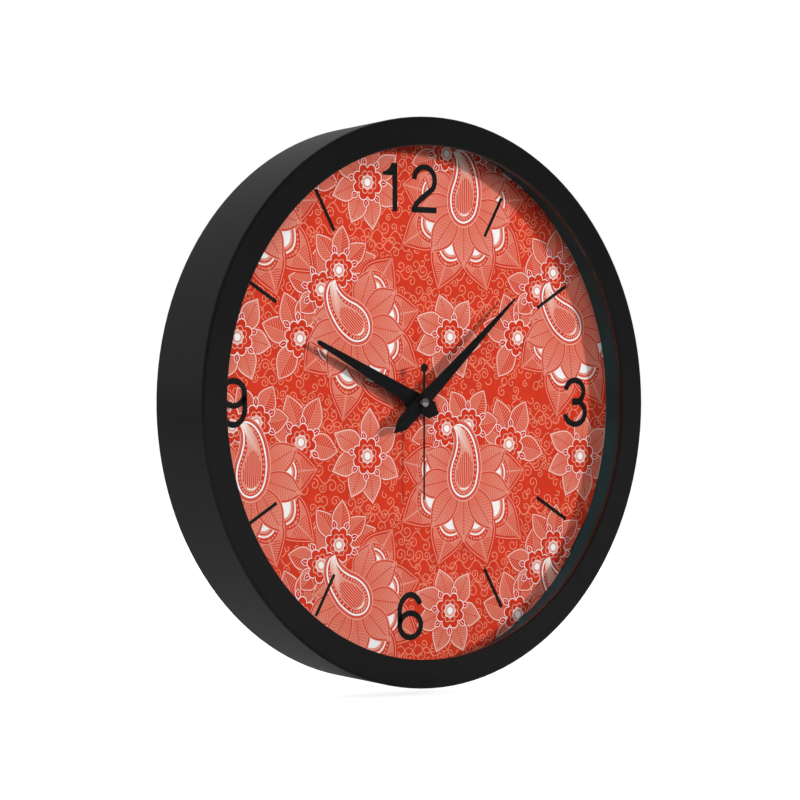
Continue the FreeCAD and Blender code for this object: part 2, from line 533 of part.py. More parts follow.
def turned(body, profile):
    """A turned shape from (radius, depth) pairs about the body's own axis."""
    sketch = sketch_on(body, "XY_Plane")
    polygon(sketch, [(radius, f"-({depth})") for radius, depth in profile])
    return revolve(body, sketch)


def disc(body, radius, back, front, x="0", z="0"):
    """A round pad between two depths."""
    sketch = front_sketch(body, back)
    circle(sketch, x, z, radius)
    return pad(body, sketch, f"{front} - {back}")


def hole(body, radius, back, front, x="0", z="0"):
    """A round cut between two depths."""
    sketch = front_sketch(body, back)
    circle(sketch, x, z, radius)
    return pocket(body, sketch, f"{front} - {back}")


def block(body, left, right, bottom, top, back, front):
    """A rectangular pad between two depths."""
    sketch = front_sketch(body, back)
    rectangle(sketch, left, right, bottom, top)
    return pad(body, sketch, f"{front} - {back}")


def cut_block(body, left, right, bottom, top, back, front):
    """A rectangular cut between two depths."""
    sketch = front_sketch(body, back)
    rectangle(sketch, left, right, bottom, top)
    return pocket(body, sketch, f"{front} - {back}")


def polar(body, originals, sketch, count):
    """The features repeated evenly about the sketch's origin."""
    doc.recompute()
    feature = body.newObject("PartDesign::PolarPattern", f"{body.Name}_pattern")
    feature.Originals = originals
    feature.Axis = (sketch, ["N_Axis"])
    feature.Angle = 360.0
    feature.setExpression("Occurrences", bound(count))
    body.Tip = feature
    doc.recompute()
    return feature


def teeth(body, count, module, back, width, turn="0", pinion=False):
    """A toothed disc whose first tooth points along X, turned anticlockwise by an angle."""
    root = f"({count} / 2 - {DEDENDUM}) * {module}"
    pitch = f"{count} / 2 * {module}"
    tip = f"({count} / 2 + {PINION_ADDENDUM if pinion else WHEEL_ADDENDUM}) * {module}"
    root_half = PINION_ROOT_HALF_THICKNESS if pinion else WHEEL_ROOT_HALF_THICKNESS
    disc(body, root, back, f"({back} + {width})")
    sketch = front_sketch(body, back, turn)
    sunk = f"({count} / 2 - {DEDENDUM} - {TOOTH_SINK}) * {module}"
    right_flank = [(sunk, f"-{root_half} * {module}"),
                   (pitch, f"-{PITCH_HALF_THICKNESS} * {module}"),
                   (tip, f"-{TIP_HALF_THICKNESS} * {module}")]
    left_flank = [(x, y[1:]) for x, y in reversed(right_flank)]
    polygon(sketch, right_flank + left_flank)
    tooth = pad(body, sketch, width)
    return polar(body, [tooth], sketch, count)


def round_edges(body, radius, wanted):
    """A fillet on every edge that the test picks out."""
    doc.recompute()
    base = body.Tip
    names = [f"Edge{i + 1}" for i, edge in enumerate(base.Shape.Edges) if wanted(edge)]
    if not names:
        raise RuntimeError(f"no edge to round on {body.Name}")
    feature = body.newObject("PartDesign::Fillet", f"{body.Name}_round")
    feature.Base = (base, names)
    feature.setExpression("Radius", bound(radius))
    doc.recompute()
    return feature


def is_circle(edge, radius, depth):
    """True for a circular edge with this radius at this depth."""
    curve = edge.Curve
    if not isinstance(curve, Part.Circle):
        return False
    at_depth = abs(curve.Center.y + value(depth)) < 1e-3
    return at_depth and abs(curve.Radius - value(radius)) < 1e-3


def ring_edge(radius, depth):
    """A test for the circle about the hands' axis with this radius, at this depth."""
    wanted_radius = value(radius)
    wanted_y = -value(depth)

    def test(edge):
        curve = edge.Curve
        if not isinstance(curve, Part.Circle):
            return False
        centred = abs(curve.Center.x) + abs(curve.Center.z) < 1e-4
        same_radius = abs(curve.Radius - wanted_radius) < 1e-3
        return centred and same_radius and abs(curve.Center.y - wanted_y) < 1e-3
    return test


def corner_edge(half_width, heights):
    """A test for straight edges along Y at the corners of a block."""
    def test(edge):
        if not isinstance(edge.Curve, Part.Line):
            return False
        along_y = abs(edge.tangentAt(edge.FirstParameter).y) > 0.999
        point = edge.CenterOfMass
        at_side = abs(abs(point.x) - value(half_width)) < 1e-3
        at_height = any(abs(point.z - value(height)) < 1e-3 for height in heights)
        return along_y and at_side and at_height
    return test


# ---------------------------------------------------------------- case, glass and dial

def make_case_ring():
    """The deep moulded case: a tapered side wall with a flat lip, ribs and screw bosses."""
    body = new_body("case_ring")
    inner_back = "(case_back_radius - case_wall)"
    inner_front = "(case_radius - case_wall)"
    turned(body, [
        ("lip_inner_radius", "case_depth"),
        ("case_radius", "case_depth"),
        ("case_back_radius", "0"),
        (inner_back, "0"),
        (inner_front, LIP_BACK),
        ("lip_inner_radius", LIP_BACK),
    ])
    round_edges(body, "rim_round", ring_edge("case_radius", "case_depth"))
    round_edges(body, "lip_round", ring_edge("lip_inner_radius", "case_depth"))
    rib_angle = "180 / rib_count"
    sketch = front_sketch(body, PLATE_FRONT, rib_angle)
    rectangle(sketch, "rib_inner_radius", "rib_outer_radius", "-rib_width / 2", "rib_width / 2")
    rib = pad(body, sketch, f"{LIP_BACK} - {PLATE_FRONT}")
    polar(body, [rib], sketch, "rib_count")
    web_sketch = front_sketch(body, PLATE_FRONT)
    rectangle(web_sketch, "plate_screw_circle + plate_boss_hole * 1.2", "rib_outer_radius",
              "-rib_width / 2", "rib_width / 2")
    web = pad(body, web_sketch, f"{LIP_BACK} - {PLATE_FRONT}")
    boss = disc(body, "plate_boss_radius", PLATE_FRONT, LIP_BACK, x="plate_screw_circle")
    polar(body, [web, boss], web_sketch, "plate_screw_count")
    bore = hole(body, "plate_boss_hole", PLATE_FRONT, f"({PLATE_FRONT} + plate_boss_bore_depth)",
                x="plate_screw_circle")
    polar(body, [bore], web_sketch, "plate_screw_count")


def make_glass_gasket():
    """Thin foam ring that beds the glass on the back of the lip."""
    body = new_body("glass_gasket")
    turned(body, [
        ("gasket_inner_radius", GLASS_FRONT),
        ("glass_radius", GLASS_FRONT),
        ("glass_radius", LIP_BACK),
        ("gasket_inner_radius", LIP_BACK),
    ])


def make_glass():
    """Flat round glass with small arrises."""
    body = new_body("glass")
    disc(body, "glass_radius", GLASS_BACK, GLASS_FRONT)
    for depth in (GLASS_BACK, GLASS_FRONT):
        round_edges(body, "glass_arris", ring_edge("glass_radius", depth))


def make_spacer_ring():
    """Ring between glass and dial, whose inner face flares towards the dial."""
    body = new_body("spacer_ring")
    turned(body, [
        ("spacer_dial_radius", "dial_depth"),
        ("spacer_outer_radius", "dial_depth"),
        ("spacer_outer_radius", GLASS_BACK),
        ("spacer_front_radius", GLASS_BACK),
    ])


def make_dial_sheet():
    """Printed sheet glued to the dial plate."""
    body = new_body("dial_sheet")
    disc(body, "sheet_radius", PLATE_FRONT, "dial_depth")
    hole(body, "plate_hole_radius + sheet_hole_gap", PLATE_FRONT, "dial_depth")


def make_dial_plate():
    """Moulded plate that carries the dial sheet, the movement and the hanger bracket."""
    body = new_body("dial_plate")
    disc(body, "plate_radius", PLATE_BACK, PLATE_FRONT)
    rib_back = f"({PLATE_BACK} - plate_rib_height)"
    sketch = front_sketch(body, rib_back)
    circle(sketch, "0", "0", "plate_ring_radius + plate_rib_width / 2")
    circle(sketch, "0", "0", "plate_ring_radius - plate_rib_width / 2")
    pad(body, sketch, "plate_rib_height")
    rib_sketch = front_sketch(body, rib_back, "180 / rib_count")
    rectangle(rib_sketch, "plate_rib_start", "plate_rib_end",
              "-plate_rib_width / 2", "plate_rib_width / 2")
    rib = pad(body, rib_sketch, "plate_rib_height")
    polar(body, [rib], rib_sketch, "rib_count")
    notch = hole(body, "plate_notch_radius", PLATE_BACK, PLATE_FRONT, x="plate_screw_circle")
    mouth = cut_block(body, "plate_screw_circle", "plate_radius + 1", "-plate_notch_radius",
                      "plate_notch_radius", PLATE_BACK, PLATE_FRONT)
    notch_sketch = notch.Profile[0]
    polar(body, [notch, mouth], notch_sketch, "plate_screw_count")
    boss_back = f"({PLATE_BACK} - bracket_boss_height)"
    for side in (-1, 1):
        place = f"({side}) * bracket_boss_x"
        disc(body, "bracket_boss_radius", boss_back, PLATE_BACK, x=place, z="bracket_boss_z")
        hole(body, "bracket_boss_hole", boss_back, f"({PLATE_BACK} + bracket_boss_bore_depth)",
             x=place, z="bracket_boss_z")
    make_movement_hooks(body)
    hole(body, "plate_hole_radius", PLATE_BACK, PLATE_FRONT)


def make_movement_hooks(body):
    """Two pairs of hooks on the back of the plate that hold the movement by its ledges."""
    ledge_outer = "(movement_half_width + ledge_reach)"
    arm_inner = f"({ledge_outer} + hook_gap)"
    arm_outer = f"({arm_inner} + hook_thickness)"
    catch_front = "(movement_front - ledge_thickness - hook_catch_gap)"
    catch_back = f"({catch_front} - hook_thickness)"
    for middle in ("upper_ledge_z", "(-lower_ledge_z)"):
        sketch = sketch_on(body, "XY_Plane", f"{middle} - hook_height / 2")
        for side in (1, -1):
            outline = [
                (arm_inner, PLATE_BACK),
                (arm_outer, PLATE_BACK),
                (arm_outer, catch_back),
                (arm_inner, catch_back),
                (f"({arm_inner} - hook_catch_reach)", f"({catch_front} - hook_catch_slope)"),
                (f"({arm_inner} - hook_catch_reach)", catch_front),
                (arm_inner, catch_front),
            ]
            polygon(sketch, [(f"({side}) * {x}", f"-{depth}") for x, depth in outline])
        pad(body, sketch, "hook_height")


def make_dial_screws():
    """Pan-head screws that clamp the dial plate to the case."""
    body = new_body("dial_screws")
    head_back = f"({PLATE_BACK} - plate_screw_head_height)"
    shank = front_sketch(body, PLATE_BACK)
    head = front_sketch(body, head_back)
    drive = front_sketch(body, head_back)
    for i in range(int(value("plate_screw_count"))):
        x = f"(plate_screw_circle * cos({i} * 360 / plate_screw_count))"
        z = f"(plate_screw_circle * sin({i} * 360 / plate_screw_count))"
        circle(shank, x, z, "plate_boss_hole - screw_clearance")
        circle(head, x, z, "plate_screw_head_radius")
        cross(drive, x, z, "plate_screw_cross_arm", "plate_screw_cross_half")
    pad(body, head, "plate_screw_head_height")
    pad(body, shank, "plate_screw_length")
    round_edges(body, "plate_screw_head_round",
                lambda edge: is_circle(edge, "plate_screw_head_radius", head_back))
    pocket(body, drive, "plate_screw_cross_depth")


# ---------------------------------------------------------------- hanger

def make_hanger_bracket():
    """Folded steel bracket with a keyhole, bridging from the dial plate back to the wall."""
    body = new_body("hanger_bracket")
    inner = "(bracket_reach - bracket_steel)"
    foot_front = f"({BRACKET_FOOT_BACK} + bracket_steel)"
    right_half = [
        (inner, "(bracket_back + bracket_steel)"),
        (inner, foot_front),
        ("(bracket_reach + bracket_foot)", foot_front),
        ("(bracket_reach + bracket_foot)", BRACKET_FOOT_BACK),
        ("bracket_reach", BRACKET_FOOT_BACK),
        ("bracket_reach", "bracket_back"),
    ]
    left_half = [(f"-{x}", depth) for x, depth in reversed(right_half)]
    sketch = sketch_on(body, "XY_Plane", "bracket_bottom")
    polygon(sketch, [(x, f"-{depth}") for x, depth in right_half + left_half])
    pad(body, sketch, "bracket_height")
    back_front = "(bracket_back + bracket_steel)"
    hole(body, "keyhole_entry", "bracket_back", back_front, z="keyhole_z")
    cut_block(body, "-keyhole_slot", "keyhole_slot", "keyhole_z", "(keyhole_z + keyhole_rise)",
              "bracket_back", back_front)
    hole(body, "keyhole_slot", "bracket_back", back_front, z="(keyhole_z + keyhole_rise)")
    for side in (-1, 1):
        hole(body, "bracket_hole_radius", BRACKET_FOOT_BACK, foot_front,
             x=f"({side}) * bracket_boss_x", z="bracket_boss_z")


def make_hanger_screws():
    """Two pan-head screws through the bracket's feet."""
    body = new_body("hanger_screws")
    head_back = f"({BRACKET_FOOT_BACK} - bracket_screw_head_height)"
    shank = front_sketch(body, BRACKET_FOOT_BACK)
    head = front_sketch(body, head_back)
    drive = front_sketch(body, head_back)
    for side in (-1, 1):
        x = f"({side}) * bracket_boss_x"
        circle(shank, x, "bracket_boss_z", "bracket_boss_hole - screw_clearance")
        circle(head, x, "bracket_boss_z", "bracket_screw_head_radius")
        cross(drive, x, "bracket_boss_z", "bracket_screw_cross_arm", "bracket_screw_cross_half")
    pad(body, head, "bracket_screw_head_height")
    pad(body, shank, "bracket_screw_length")
    round_edges(body, "bracket_screw_head_round",
                lambda edge: is_circle(edge, "bracket_screw_head_radius", head_back))
    pocket(body, drive, "bracket_screw_cross_depth")


# ---------------------------------------------------------------- movement housing

def make_movement_housing():
    """Front half of the movement: tray, battery bay, neck, bearing bosses and posts."""
    body = new_body("movement_housing")
    block(body, "-movement_half_width", "movement_half_width",
          "-movement_bottom", "movement_top", "movement_back", "movement_front")
    round_edges(body, "movement_round",
                corner_edge("movement_half_width", ["movement_top", "-movement_bottom"]))
    inner = "(movement_half_width - movement_wall)"
    cut_block(body, f"-{inner}", inner, "-partition_top", "(movement_top - movement_wall)",
              "movement_back", MOVEMENT_INSIDE)
    cut_block(body, "-(movement_half_width + 1)", "(movement_half_width + 1)",
              "-partition_bottom", "(movement_top + 1)", "movement_back", COVER_FRONT)
    cut_block(body, f"-{inner}", inner, "-(movement_bottom - movement_wall)",
              "-partition_bottom", "movement_back", MOVEMENT_INSIDE)
    for side in (-1, 1):
        near = f"({side}) * (contact_x - contact_slot)"
        far = f"({side}) * {inner}"
        left, right = (far, near) if side < 0 else (near, far)
        cut_block(body, left, right, "-partition_bottom - joint_overlap",
                  "-partition_top + joint_overlap", COVER_FRONT, MOVEMENT_INSIDE)
    ledge_back = "(movement_front - ledge_thickness)"
    for middle in ("upper_ledge_z", "(-lower_ledge_z)"):
        block(body, "-(movement_half_width + ledge_reach)", "-(movement_half_width - joint_overlap)",
              f"{middle} - ledge_height / 2", f"{middle} + ledge_height / 2",
              ledge_back, "movement_front")
        block(body, "(movement_half_width - joint_overlap)", "(movement_half_width + ledge_reach)",
              f"{middle} - ledge_height / 2", f"{middle} + ledge_height / 2",
              ledge_back, "movement_front")
    disc(body, "neck_radius", "(movement_front - joint_overlap)", "neck_end")
    hole(body, "(hour_pipe_radius + bearing_gap)", "(movement_front - movement_floor)", "neck_end")
    make_housing_bearings(body)
    make_housing_posts(body)


def make_housing_bearings(body):
    """Bosses that carry the front ends of the arbors, and the minute wheel's pin."""
    root = f"({MOVEMENT_INSIDE} + joint_overlap)"
    bearings = (("-third_x", "train_boss_end"), ("intermediate_x", "train_boss_end"),
                ("rotor_x", "rotor_boss_end"))
    for x, end in bearings:
        disc(body, "boss_radius", end, root, x=x)
        hole(body, BORE, end, f"({end} + front_bore_depth)", x=x)
    disc(body, "minute_pin_foot_radius", "minute_pin_foot", root, z="minute_wheel_z")
    disc(body, "minute_pin_radius", "minute_pin_end", "(minute_pin_foot + joint_overlap)",
         z="minute_wheel_z")
    disc(body, "knob_boss_radius", "knob_boss_end", root, z="knob_z")
    hole(body, "(knob_pin_radius + bearing_gap)", "knob_boss_end", MOVEMENT_INSIDE, z="knob_z")


def make_housing_posts(body):
    """Posts for the stator's screws and pegs for the circuit board."""
    root = f"({MOVEMENT_INSIDE} + joint_overlap)"
    stator_front = "(stator_depth + stator_thickness)"
    for side in (-1, 1):
        z = f"({side}) * stator_screw_z"
        disc(body, "stator_post_radius", stator_front, root, x="coil_x", z=z)
        hole(body, "stator_post_bore", stator_front, f"({stator_front} + stator_post_bore_depth)",
             x="coil_x", z=z)
    board_front = "(board_depth + board_thickness)"
    for x, z in BOARD_PEGS:
        disc(body, "board_post_radius", board_front, root, x=x, z=z)
        disc(body, "board_peg_radius", "(board_depth - board_peg_reach)",
             f"({board_front} + board_peg_root)", x=x, z=z)


def make_movement_cover():
    """Rear cover over the wheel train, with the rear bearings and the knob's hole."""
    body = new_body("movement_cover")
    block(body, "-movement_half_width", "movement_half_width", "-partition_bottom",
          "movement_top", "movement_back", COVER_FRONT)
    round_edges(body, "movement_round", corner_edge("movement_half_width", ["movement_top"]))
    bearings = (("0", "second_rear_boss_end", SECOND_BORE), ("-third_x", "third_rear_boss_end", BORE),
                ("intermediate_x", "intermediate_rear_boss_end", BORE),
                ("rotor_x", "rotor_rear_boss_end", BORE))
    for x, end, bore in bearings:
        disc(body, "boss_radius", f"({COVER_FRONT} - joint_overlap)", end, x=x)
        hole(body, bore, COVER_FRONT, end, x=x)
    hole(body, "(knob_stem_radius + bearing_gap)", "movement_back", COVER_FRONT, z="knob_z")


def make_mounting_washer():
    """Rubber washer between movement and dial plate."""
    body = new_body("mounting_washer")
    turned(body, [
        ("(neck_radius + washer_gap)", "movement_front"),
        ("washer_radius", "movement_front"),
        ("washer_radius", PLATE_BACK),
        ("(neck_radius + washer_gap)", PLATE_BACK),
    ])


# ---------------------------------------------------------------- motor and electronics

def make_rotor_magnet():
    """Ring magnet of the stepping motor."""
    body = new_body("rotor_magnet", x="rotor_x")
    turned(body, [
        ("arbor_radius", "magnet_back"),
        ("rotor_magnet_radius", "magnet_back"),
        ("rotor_magnet_radius", "magnet_front"),
        ("arbor_radius", "magnet_front"),
    ])


def make_rotor_pinion():
    """Rotor arbor with its moulded pinion."""
    body = new_body("rotor_pinion", x="rotor_x")
    disc(body, "arbor_radius", "arbor_back", "rotor_arbor_front")
    teeth(body, "rotor_pinion_teeth", "rotor_module", "rotor_pinion_back", "rotor_pinion_width",
          turn="180 + 180 / rotor_pinion_teeth", pinion=True)


def make_intermediate_wheel():
    """Wheel driven by the rotor, whose pinion drives the second wheel."""
    body = new_body("intermediate_wheel", x="intermediate_x")
    disc(body, "arbor_radius", "arbor_back", "intermediate_arbor_front")
    disc(body, "intermediate_hub_radius", "intermediate_hub_back", "intermediate_hub_front")
    teeth(body, "intermediate_teeth", "rotor_module", "intermediate_wheel_back", "train_wheel_width")
    teeth(body, "intermediate_pinion_teeth", "second_module", "intermediate_pinion_back",
          "intermediate_pinion_width", turn="180 + 180 / intermediate_pinion_teeth", pinion=True)


def make_second_wheel():
    """Wheel and pinion on the second hand's arbor."""
    body = new_body("second_wheel")
    turned(body, [
        ("second_arbor_radius", "second_hub_back"),
        ("second_hub_radius", "second_hub_back"),
        ("second_hub_radius", "second_hub_front"),
        ("second_arbor_radius", "second_hub_front"),
    ])
    teeth(body, "second_teeth", "second_module", "second_wheel_back", "train_wheel_width")
    teeth(body, "second_pinion_teeth", "third_module", "second_pinion_back", "second_pinion_width",
          turn="180 + 180 / second_pinion_teeth", pinion=True)
    disc(body, "second_collar_radius", "second_collar_back", "second_collar_front")
    hole(body, "second_arbor_radius", "second_hub_back", "second_hub_front")


def make_second_arbor():
    """Steel arbor that runs from the rear cover to the second hand."""
    body = new_body("second_arbor")
    disc(body, "second_arbor_radius", "second_arbor_back", "(second_blade_depth + second_arbor_tip)")


def make_third_wheel():
    """Wheel and pinion between the second wheel and the centre wheel."""
    body = new_body("third_wheel", x="-third_x")
    disc(body, "arbor_radius", "third_arbor_back", "third_arbor_front")
    disc(body, "third_hub_radius", "third_hub_back", "third_hub_front")
    teeth(body, "third_teeth", "third_module", "third_wheel_back", "train_wheel_width")
    teeth(body, "third_pinion_teeth", "centre_module", "third_pinion_back", "third_pinion_width",
          turn="180 / third_pinion_teeth", pinion=True)


def make_centre_wheel():
    """Wheel that turns once an hour and drives the minute tube through the clutch."""
    body = new_body("centre_wheel")
    teeth(body, "centre_teeth", "centre_module", "centre_wheel_back", "centre_wheel_width", turn="180")
    hole(body, "(cannon_radius + bearing_gap)", "centre_wheel_back",
         "(centre_wheel_back + centre_wheel_width)")


def make_clutch_spring():
    """Dished washer that presses the centre wheel against the minute tube's flange."""
    body = new_body("clutch_spring")
    turned(body, [
        ("(cannon_radius + clutch_gap)", "clutch_inner_back"),
        ("(cannon_radius + clutch_gap)", "(clutch_inner_back + clutch_sheet)"),
        ("clutch_radius", "(clutch_outer_back + clutch_sheet)"),
        ("clutch_radius", "clutch_outer_back"),
    ])


def make_cannon_pinion():
    """Minute tube with its flange and pinion."""
    body = new_body("cannon_pinion")
    tube_end = "(minute_blade_depth + blade_thickness)"
    turned(body, [
        (SECOND_BORE, "flange_back"),
        ("flange_radius", "flange_back"),
        ("flange_radius", "flange_front"),
        ("cannon_radius", "flange_front"),
        ("cannon_radius", "cannon_shoulder"),
        ("minute_tube_radius", "cannon_shoulder"),
        ("minute_tube_radius", tube_end),
        (SECOND_BORE, tube_end),
    ])
    teeth(body, "cannon_teeth", "motion_module", "cannon_pinion_back", "cannon_pinion_width",
          turn="90 + 180 / cannon_teeth", pinion=True)
    hole(body, SECOND_BORE, "cannon_pinion_back", "(cannon_pinion_back + cannon_pinion_width)")


def make_minute_wheel():
    """Wheel and pinion that step the minute tube down to the hour wheel."""
    body = new_body("minute_wheel", z="minute_wheel_z")
    hub_front = "(minute_pinion_back + minute_pinion_width)"
    disc(body, "minute_hub_radius", "minute_wheel_back", hub_front)
    teeth(body, "minute_wheel_teeth", "motion_module", "minute_wheel_back", "minute_wheel_width",
          turn="90")
    teeth(body, "minute_pinion_teeth", "hour_module", "minute_pinion_back", "minute_pinion_width",
          turn="-90 + 180 / minute_pinion_teeth", pinion=True)
    hole(body, "(minute_pin_radius + bearing_gap)", "minute_wheel_back", hub_front)


def make_hour_wheel():
    """Hour wheel with the pipe that carries the hour hand."""
    body = new_body("hour_wheel")
    pipe_end = "(hour_blade_depth + blade_thickness)"
    disc(body, "hour_pipe_radius", "hour_wheel_back", pipe_end)
    teeth(body, "hour_teeth", "hour_module", "hour_wheel_back", "hour_wheel_width", turn="90")
    hole(body, "(minute_tube_radius + bearing_gap)", "hour_wheel_back", pipe_end)


def make_setting_knob():
    """Knob at the back with its stem and the pinion that turns the minute wheel."""
    body = new_body("setting_knob", z="knob_z")
    disc(body, "knob_radius", "knob_back", "knob_front")
    round_edges(body, "knob_round", lambda edge: is_circle(edge, "knob_radius", "knob_back"))
    grip = front_sketch(body, "knob_back")
    circle(grip, "(knob_radius + knob_flute_offset)", "0", "knob_flute_radius")
    flute = pocket(body, grip, "knob_front - knob_back")
    polar(body, [flute], grip, "knob_flutes")
    hole(body, "(knob_radius - knob_recess_rim)", "knob_back", "knob_recess_floor")
    disc(body, "knob_stem_radius", "knob_recess_floor", "knob_stem_front")
    disc(body, "knob_pin_radius", "(knob_stem_front - joint_overlap)", "knob_pin_end")
    teeth(body, "knob_teeth", "motion_module", "knob_pinion_back", "knob_pinion_width",
          turn="-90 + 180 / knob_teeth", pinion=True)


def make_stator():
    """Soft-iron frame with the rotor's opening and two legs for the coil core."""
    body = new_body("stator")
    front = "(stator_depth + stator_thickness)"
    block(body, "(rotor_x - stator_left_reach)", "(coil_x + stator_right_reach)",
          "-stator_half_height", "stator_half_height", "stator_depth", front)
    opening = "(stator_half_height - stator_leg_width)"
    cut_block(body, "(coil_x - coil_flange_radius - stator_coil_gap)", "(coil_x + stator_cut_reach)",
              f"-{opening}", opening, "stator_depth", front)
    hole(body, "(rotor_magnet_radius + magnet_gap)", "stator_depth", front, x="rotor_x")
    for side in (-1, 1):
        hole(body, "stator_hole_radius", "stator_depth", front, x="coil_x",
             z=f"({side}) * stator_screw_z")


def make_coil_core():
    """Soft-iron strip through the coil."""
    body = new_body("coil_core")
    back = "(stator_depth - stator_thickness)"
    block(body, "(coil_x - coil_core_half_width)", "(coil_x + coil_core_half_width)",
          "-stator_half_height", "stator_half_height", back, "stator_depth")
    for side in (-1, 1):
        hole(body, "stator_hole_radius", back, "stator_depth", x="coil_x",
             z=f"({side}) * stator_screw_z")


def make_coil_bobbin():
    """Bobbin with two flanges and a square hole for the core."""
    body = new_body("coil_bobbin", x="coil_x", depth="coil_depth")
    sketch = sketch_on(body, "XZ_Plane")
    polygon(sketch, [
        ("0", "-coil_half_length"),
        ("coil_flange_radius", "-coil_half_length"),
        ("coil_flange_radius", f"-{COIL_INSIDE}"),
        ("coil_barrel_radius", f"-{COIL_INSIDE}"),
        ("coil_barrel_radius", COIL_INSIDE),
        ("coil_flange_radius", COIL_INSIDE),
        ("coil_flange_radius", "coil_half_length"),
        ("0", "coil_half_length"),
    ])
    revolve(body, sketch)
    opening = sketch_on(body, "XY_Plane", "-coil_half_length")
    half_width = "(coil_core_half_width + coil_core_gap)"
    half_height = "(stator_thickness / 2 + coil_core_gap)"
    rectangle(opening, f"-{half_width}", half_width, f"-{half_height}", half_height)
    pocket(body, opening, "2 * coil_half_length")


def make_coil_winding():
    """Copper winding, filled almost to the flanges."""
    body = new_body("coil_winding", x="coil_x", depth="coil_depth")
    sketch = sketch_on(body, "XZ_Plane")
    rectangle(sketch, "coil_barrel_radius", "(coil_flange_radius - winding_gap)",
              f"-{COIL_INSIDE}", COIL_INSIDE)
    revolve(body, sketch)


def make_coil_leads():
    """Two enamelled wires from the bobbin to the circuit board."""
    body = new_body("coil_leads", x="coil_x", depth="(board_depth + board_thickness + lead_radius)")
    sketch = sketch_on(body, "XY_Plane", "coil_half_length")
    for x in ("lead_first_x", "lead_second_x"):
        circle(sketch, x, "0", "lead_radius")
    pad(body, sketch, "board_bottom + lead_overlap - coil_half_length")


def make_stator_screws():
    """Two small screws that clamp core and stator to the housing."""
    body = new_body("stator_screws")
    head_front = "(stator_depth - stator_thickness)"
    head_back = f"({head_front} - stator_screw_head_height)"
    head = front_sketch(body, head_back)
    shank = front_sketch(body, head_front)
    drive = front_sketch(body, head_back)
    for side in (-1, 1):
        z = f"({side}) * stator_screw_z"
        circle(head, "coil_x", z, "stator_screw_head_radius")
        circle(shank, "coil_x", z, "stator_screw_radius")
        cross(drive, "coil_x", z, "stator_screw_cross_arm", "stator_screw_cross_half")
    pad(body, head, "stator_screw_head_height")
    pad(body, shank, "stator_screw_length")
    pocket(body, drive, "stator_screw_cross_depth")


def make_circuit_board():
    """Small circuit board with two peg holes."""
    body = new_body("circuit_board")
    front = "(board_depth + board_thickness)"
    block(body, "board_left", "board_right", "board_bottom", "board_top", "board_depth", front)
    for x, z in BOARD_PEGS:
        hole(body, "board_hole_radius", "board_depth", front, x=x, z=z)


def make_clock_chip():
    """Drop of resin over the clock chip, on the back of the board."""
    body = new_body("clock_chip", x="(board_left + chip_x)", z="(board_bottom + chip_z)")
    turned(body, [
        ("0", "(board_depth - chip_height)"),
        ("chip_crown_radius", "(board_depth - chip_crown)"),
        ("chip_shoulder_radius", "(board_depth - chip_shoulder)"),
        ("chip_radius", "board_depth"),
        ("0", "board_depth"),
    ])


def make_crystal_can():
    """Quartz crystal in its can, lying on the front of the board."""
    body = new_body("crystal_can", x="(board_left + crystal_x)",
                    depth="(board_depth + board_thickness + crystal_radius)",
                    z="(board_bottom + crystal_z)")
    sketch = sketch_on(body, "XY_Plane")
    rectangle(sketch, "0", "crystal_length", "0", "crystal_radius")
    revolve(body, sketch, "H_Axis")


def make_battery():
    """Round cell with its positive nub to the right."""
    body = new_body("battery", depth="battery_depth", z="-battery_z")
    sketch = sketch_on(body, "XY_Plane")
    polygon(sketch, [
        ("-battery_left", "0"),
        ("-battery_left", "(battery_radius - battery_bevel)"),
        ("(battery_bevel - battery_left)", "battery_radius"),
        ("(battery_right - battery_bevel)", "battery_radius"),
        ("battery_right", "(battery_radius - battery_bevel)"),
        ("battery_right", "battery_nub_radius"),
        ("(battery_right + battery_nub_length)", "battery_nub_radius"),
        ("(battery_right + battery_nub_length)", "0"),
    ])
    revolve(body, sketch, "H_Axis")


def make_contact_positive():
    """Right-hand contact: a strip from the battery's nub up to the board."""
    body = new_body("contact_positive")
    outer = "(contact_x + contact_thickness)"
    back = "(board_depth + board_thickness)"
    top = "(board_bottom + contact_rise)"
    block(body, "contact_x", outer, "-(battery_z + contact_foot)", top, back, "contact_front")
    block(body, "(contact_x - contact_tab)", outer, "(board_bottom + contact_tab_rise)", top,
          back, f"({back} + contact_thickness)")


def make_contact_negative():
    """Left-hand contact: a bowed spring, a strip up the side and one along the top."""
    body = new_body("contact_negative")
    outer = "(contact_x + contact_thickness)"
    back = "(board_depth + board_thickness)"
    top = "(movement_top - movement_wall - strip_gap)"
    under_top = f"({top} - contact_thickness)"
    block(body, f"-{outer}", "-contact_x", "-(battery_z + spring_half_height)", top,
          back, "contact_front")
    block(body, f"-{outer}", "(board_left + strip_outer)", under_top, top,
          back, f"({back} + strip_width)")
    block(body, "(board_left + strip_inner)", "(board_left + strip_outer)",
          "(board_top - strip_overlap)", top, back, f"({back} + contact_thickness)")
    bow = front_sketch(body, f"({back} + spring_back)")
    crown = "-(battery_left + spring_gap)"
    crown_inner = "-(battery_left + spring_gap + spring_sheet)"
    polygon(bow, [
        (f"-{outer}", "-(battery_z + spring_half_height)"),
        ("-contact_x", "-(battery_z + spring_half_height)"),
        (crown, "-(battery_z + spring_crown)"),
        (crown, "-(battery_z - spring_crown)"),
        ("-contact_x", "-(battery_z - spring_half_height)"),
        (f"-{outer}", "-(battery_z - spring_half_height)"),
        (f"-{outer}", "-(battery_z - spring_half_height + spring_thickness_z)"),
        (crown_inner, "-(battery_z - spring_crown_inner)"),
        (crown_inner, "-(battery_z + spring_crown_inner)"),
        (f"-{outer}", "-(battery_z + spring_half_height - spring_thickness_z)"),
    ])
    pad(body, bow, "spring_width")


# ---------------------------------------------------------------- hands

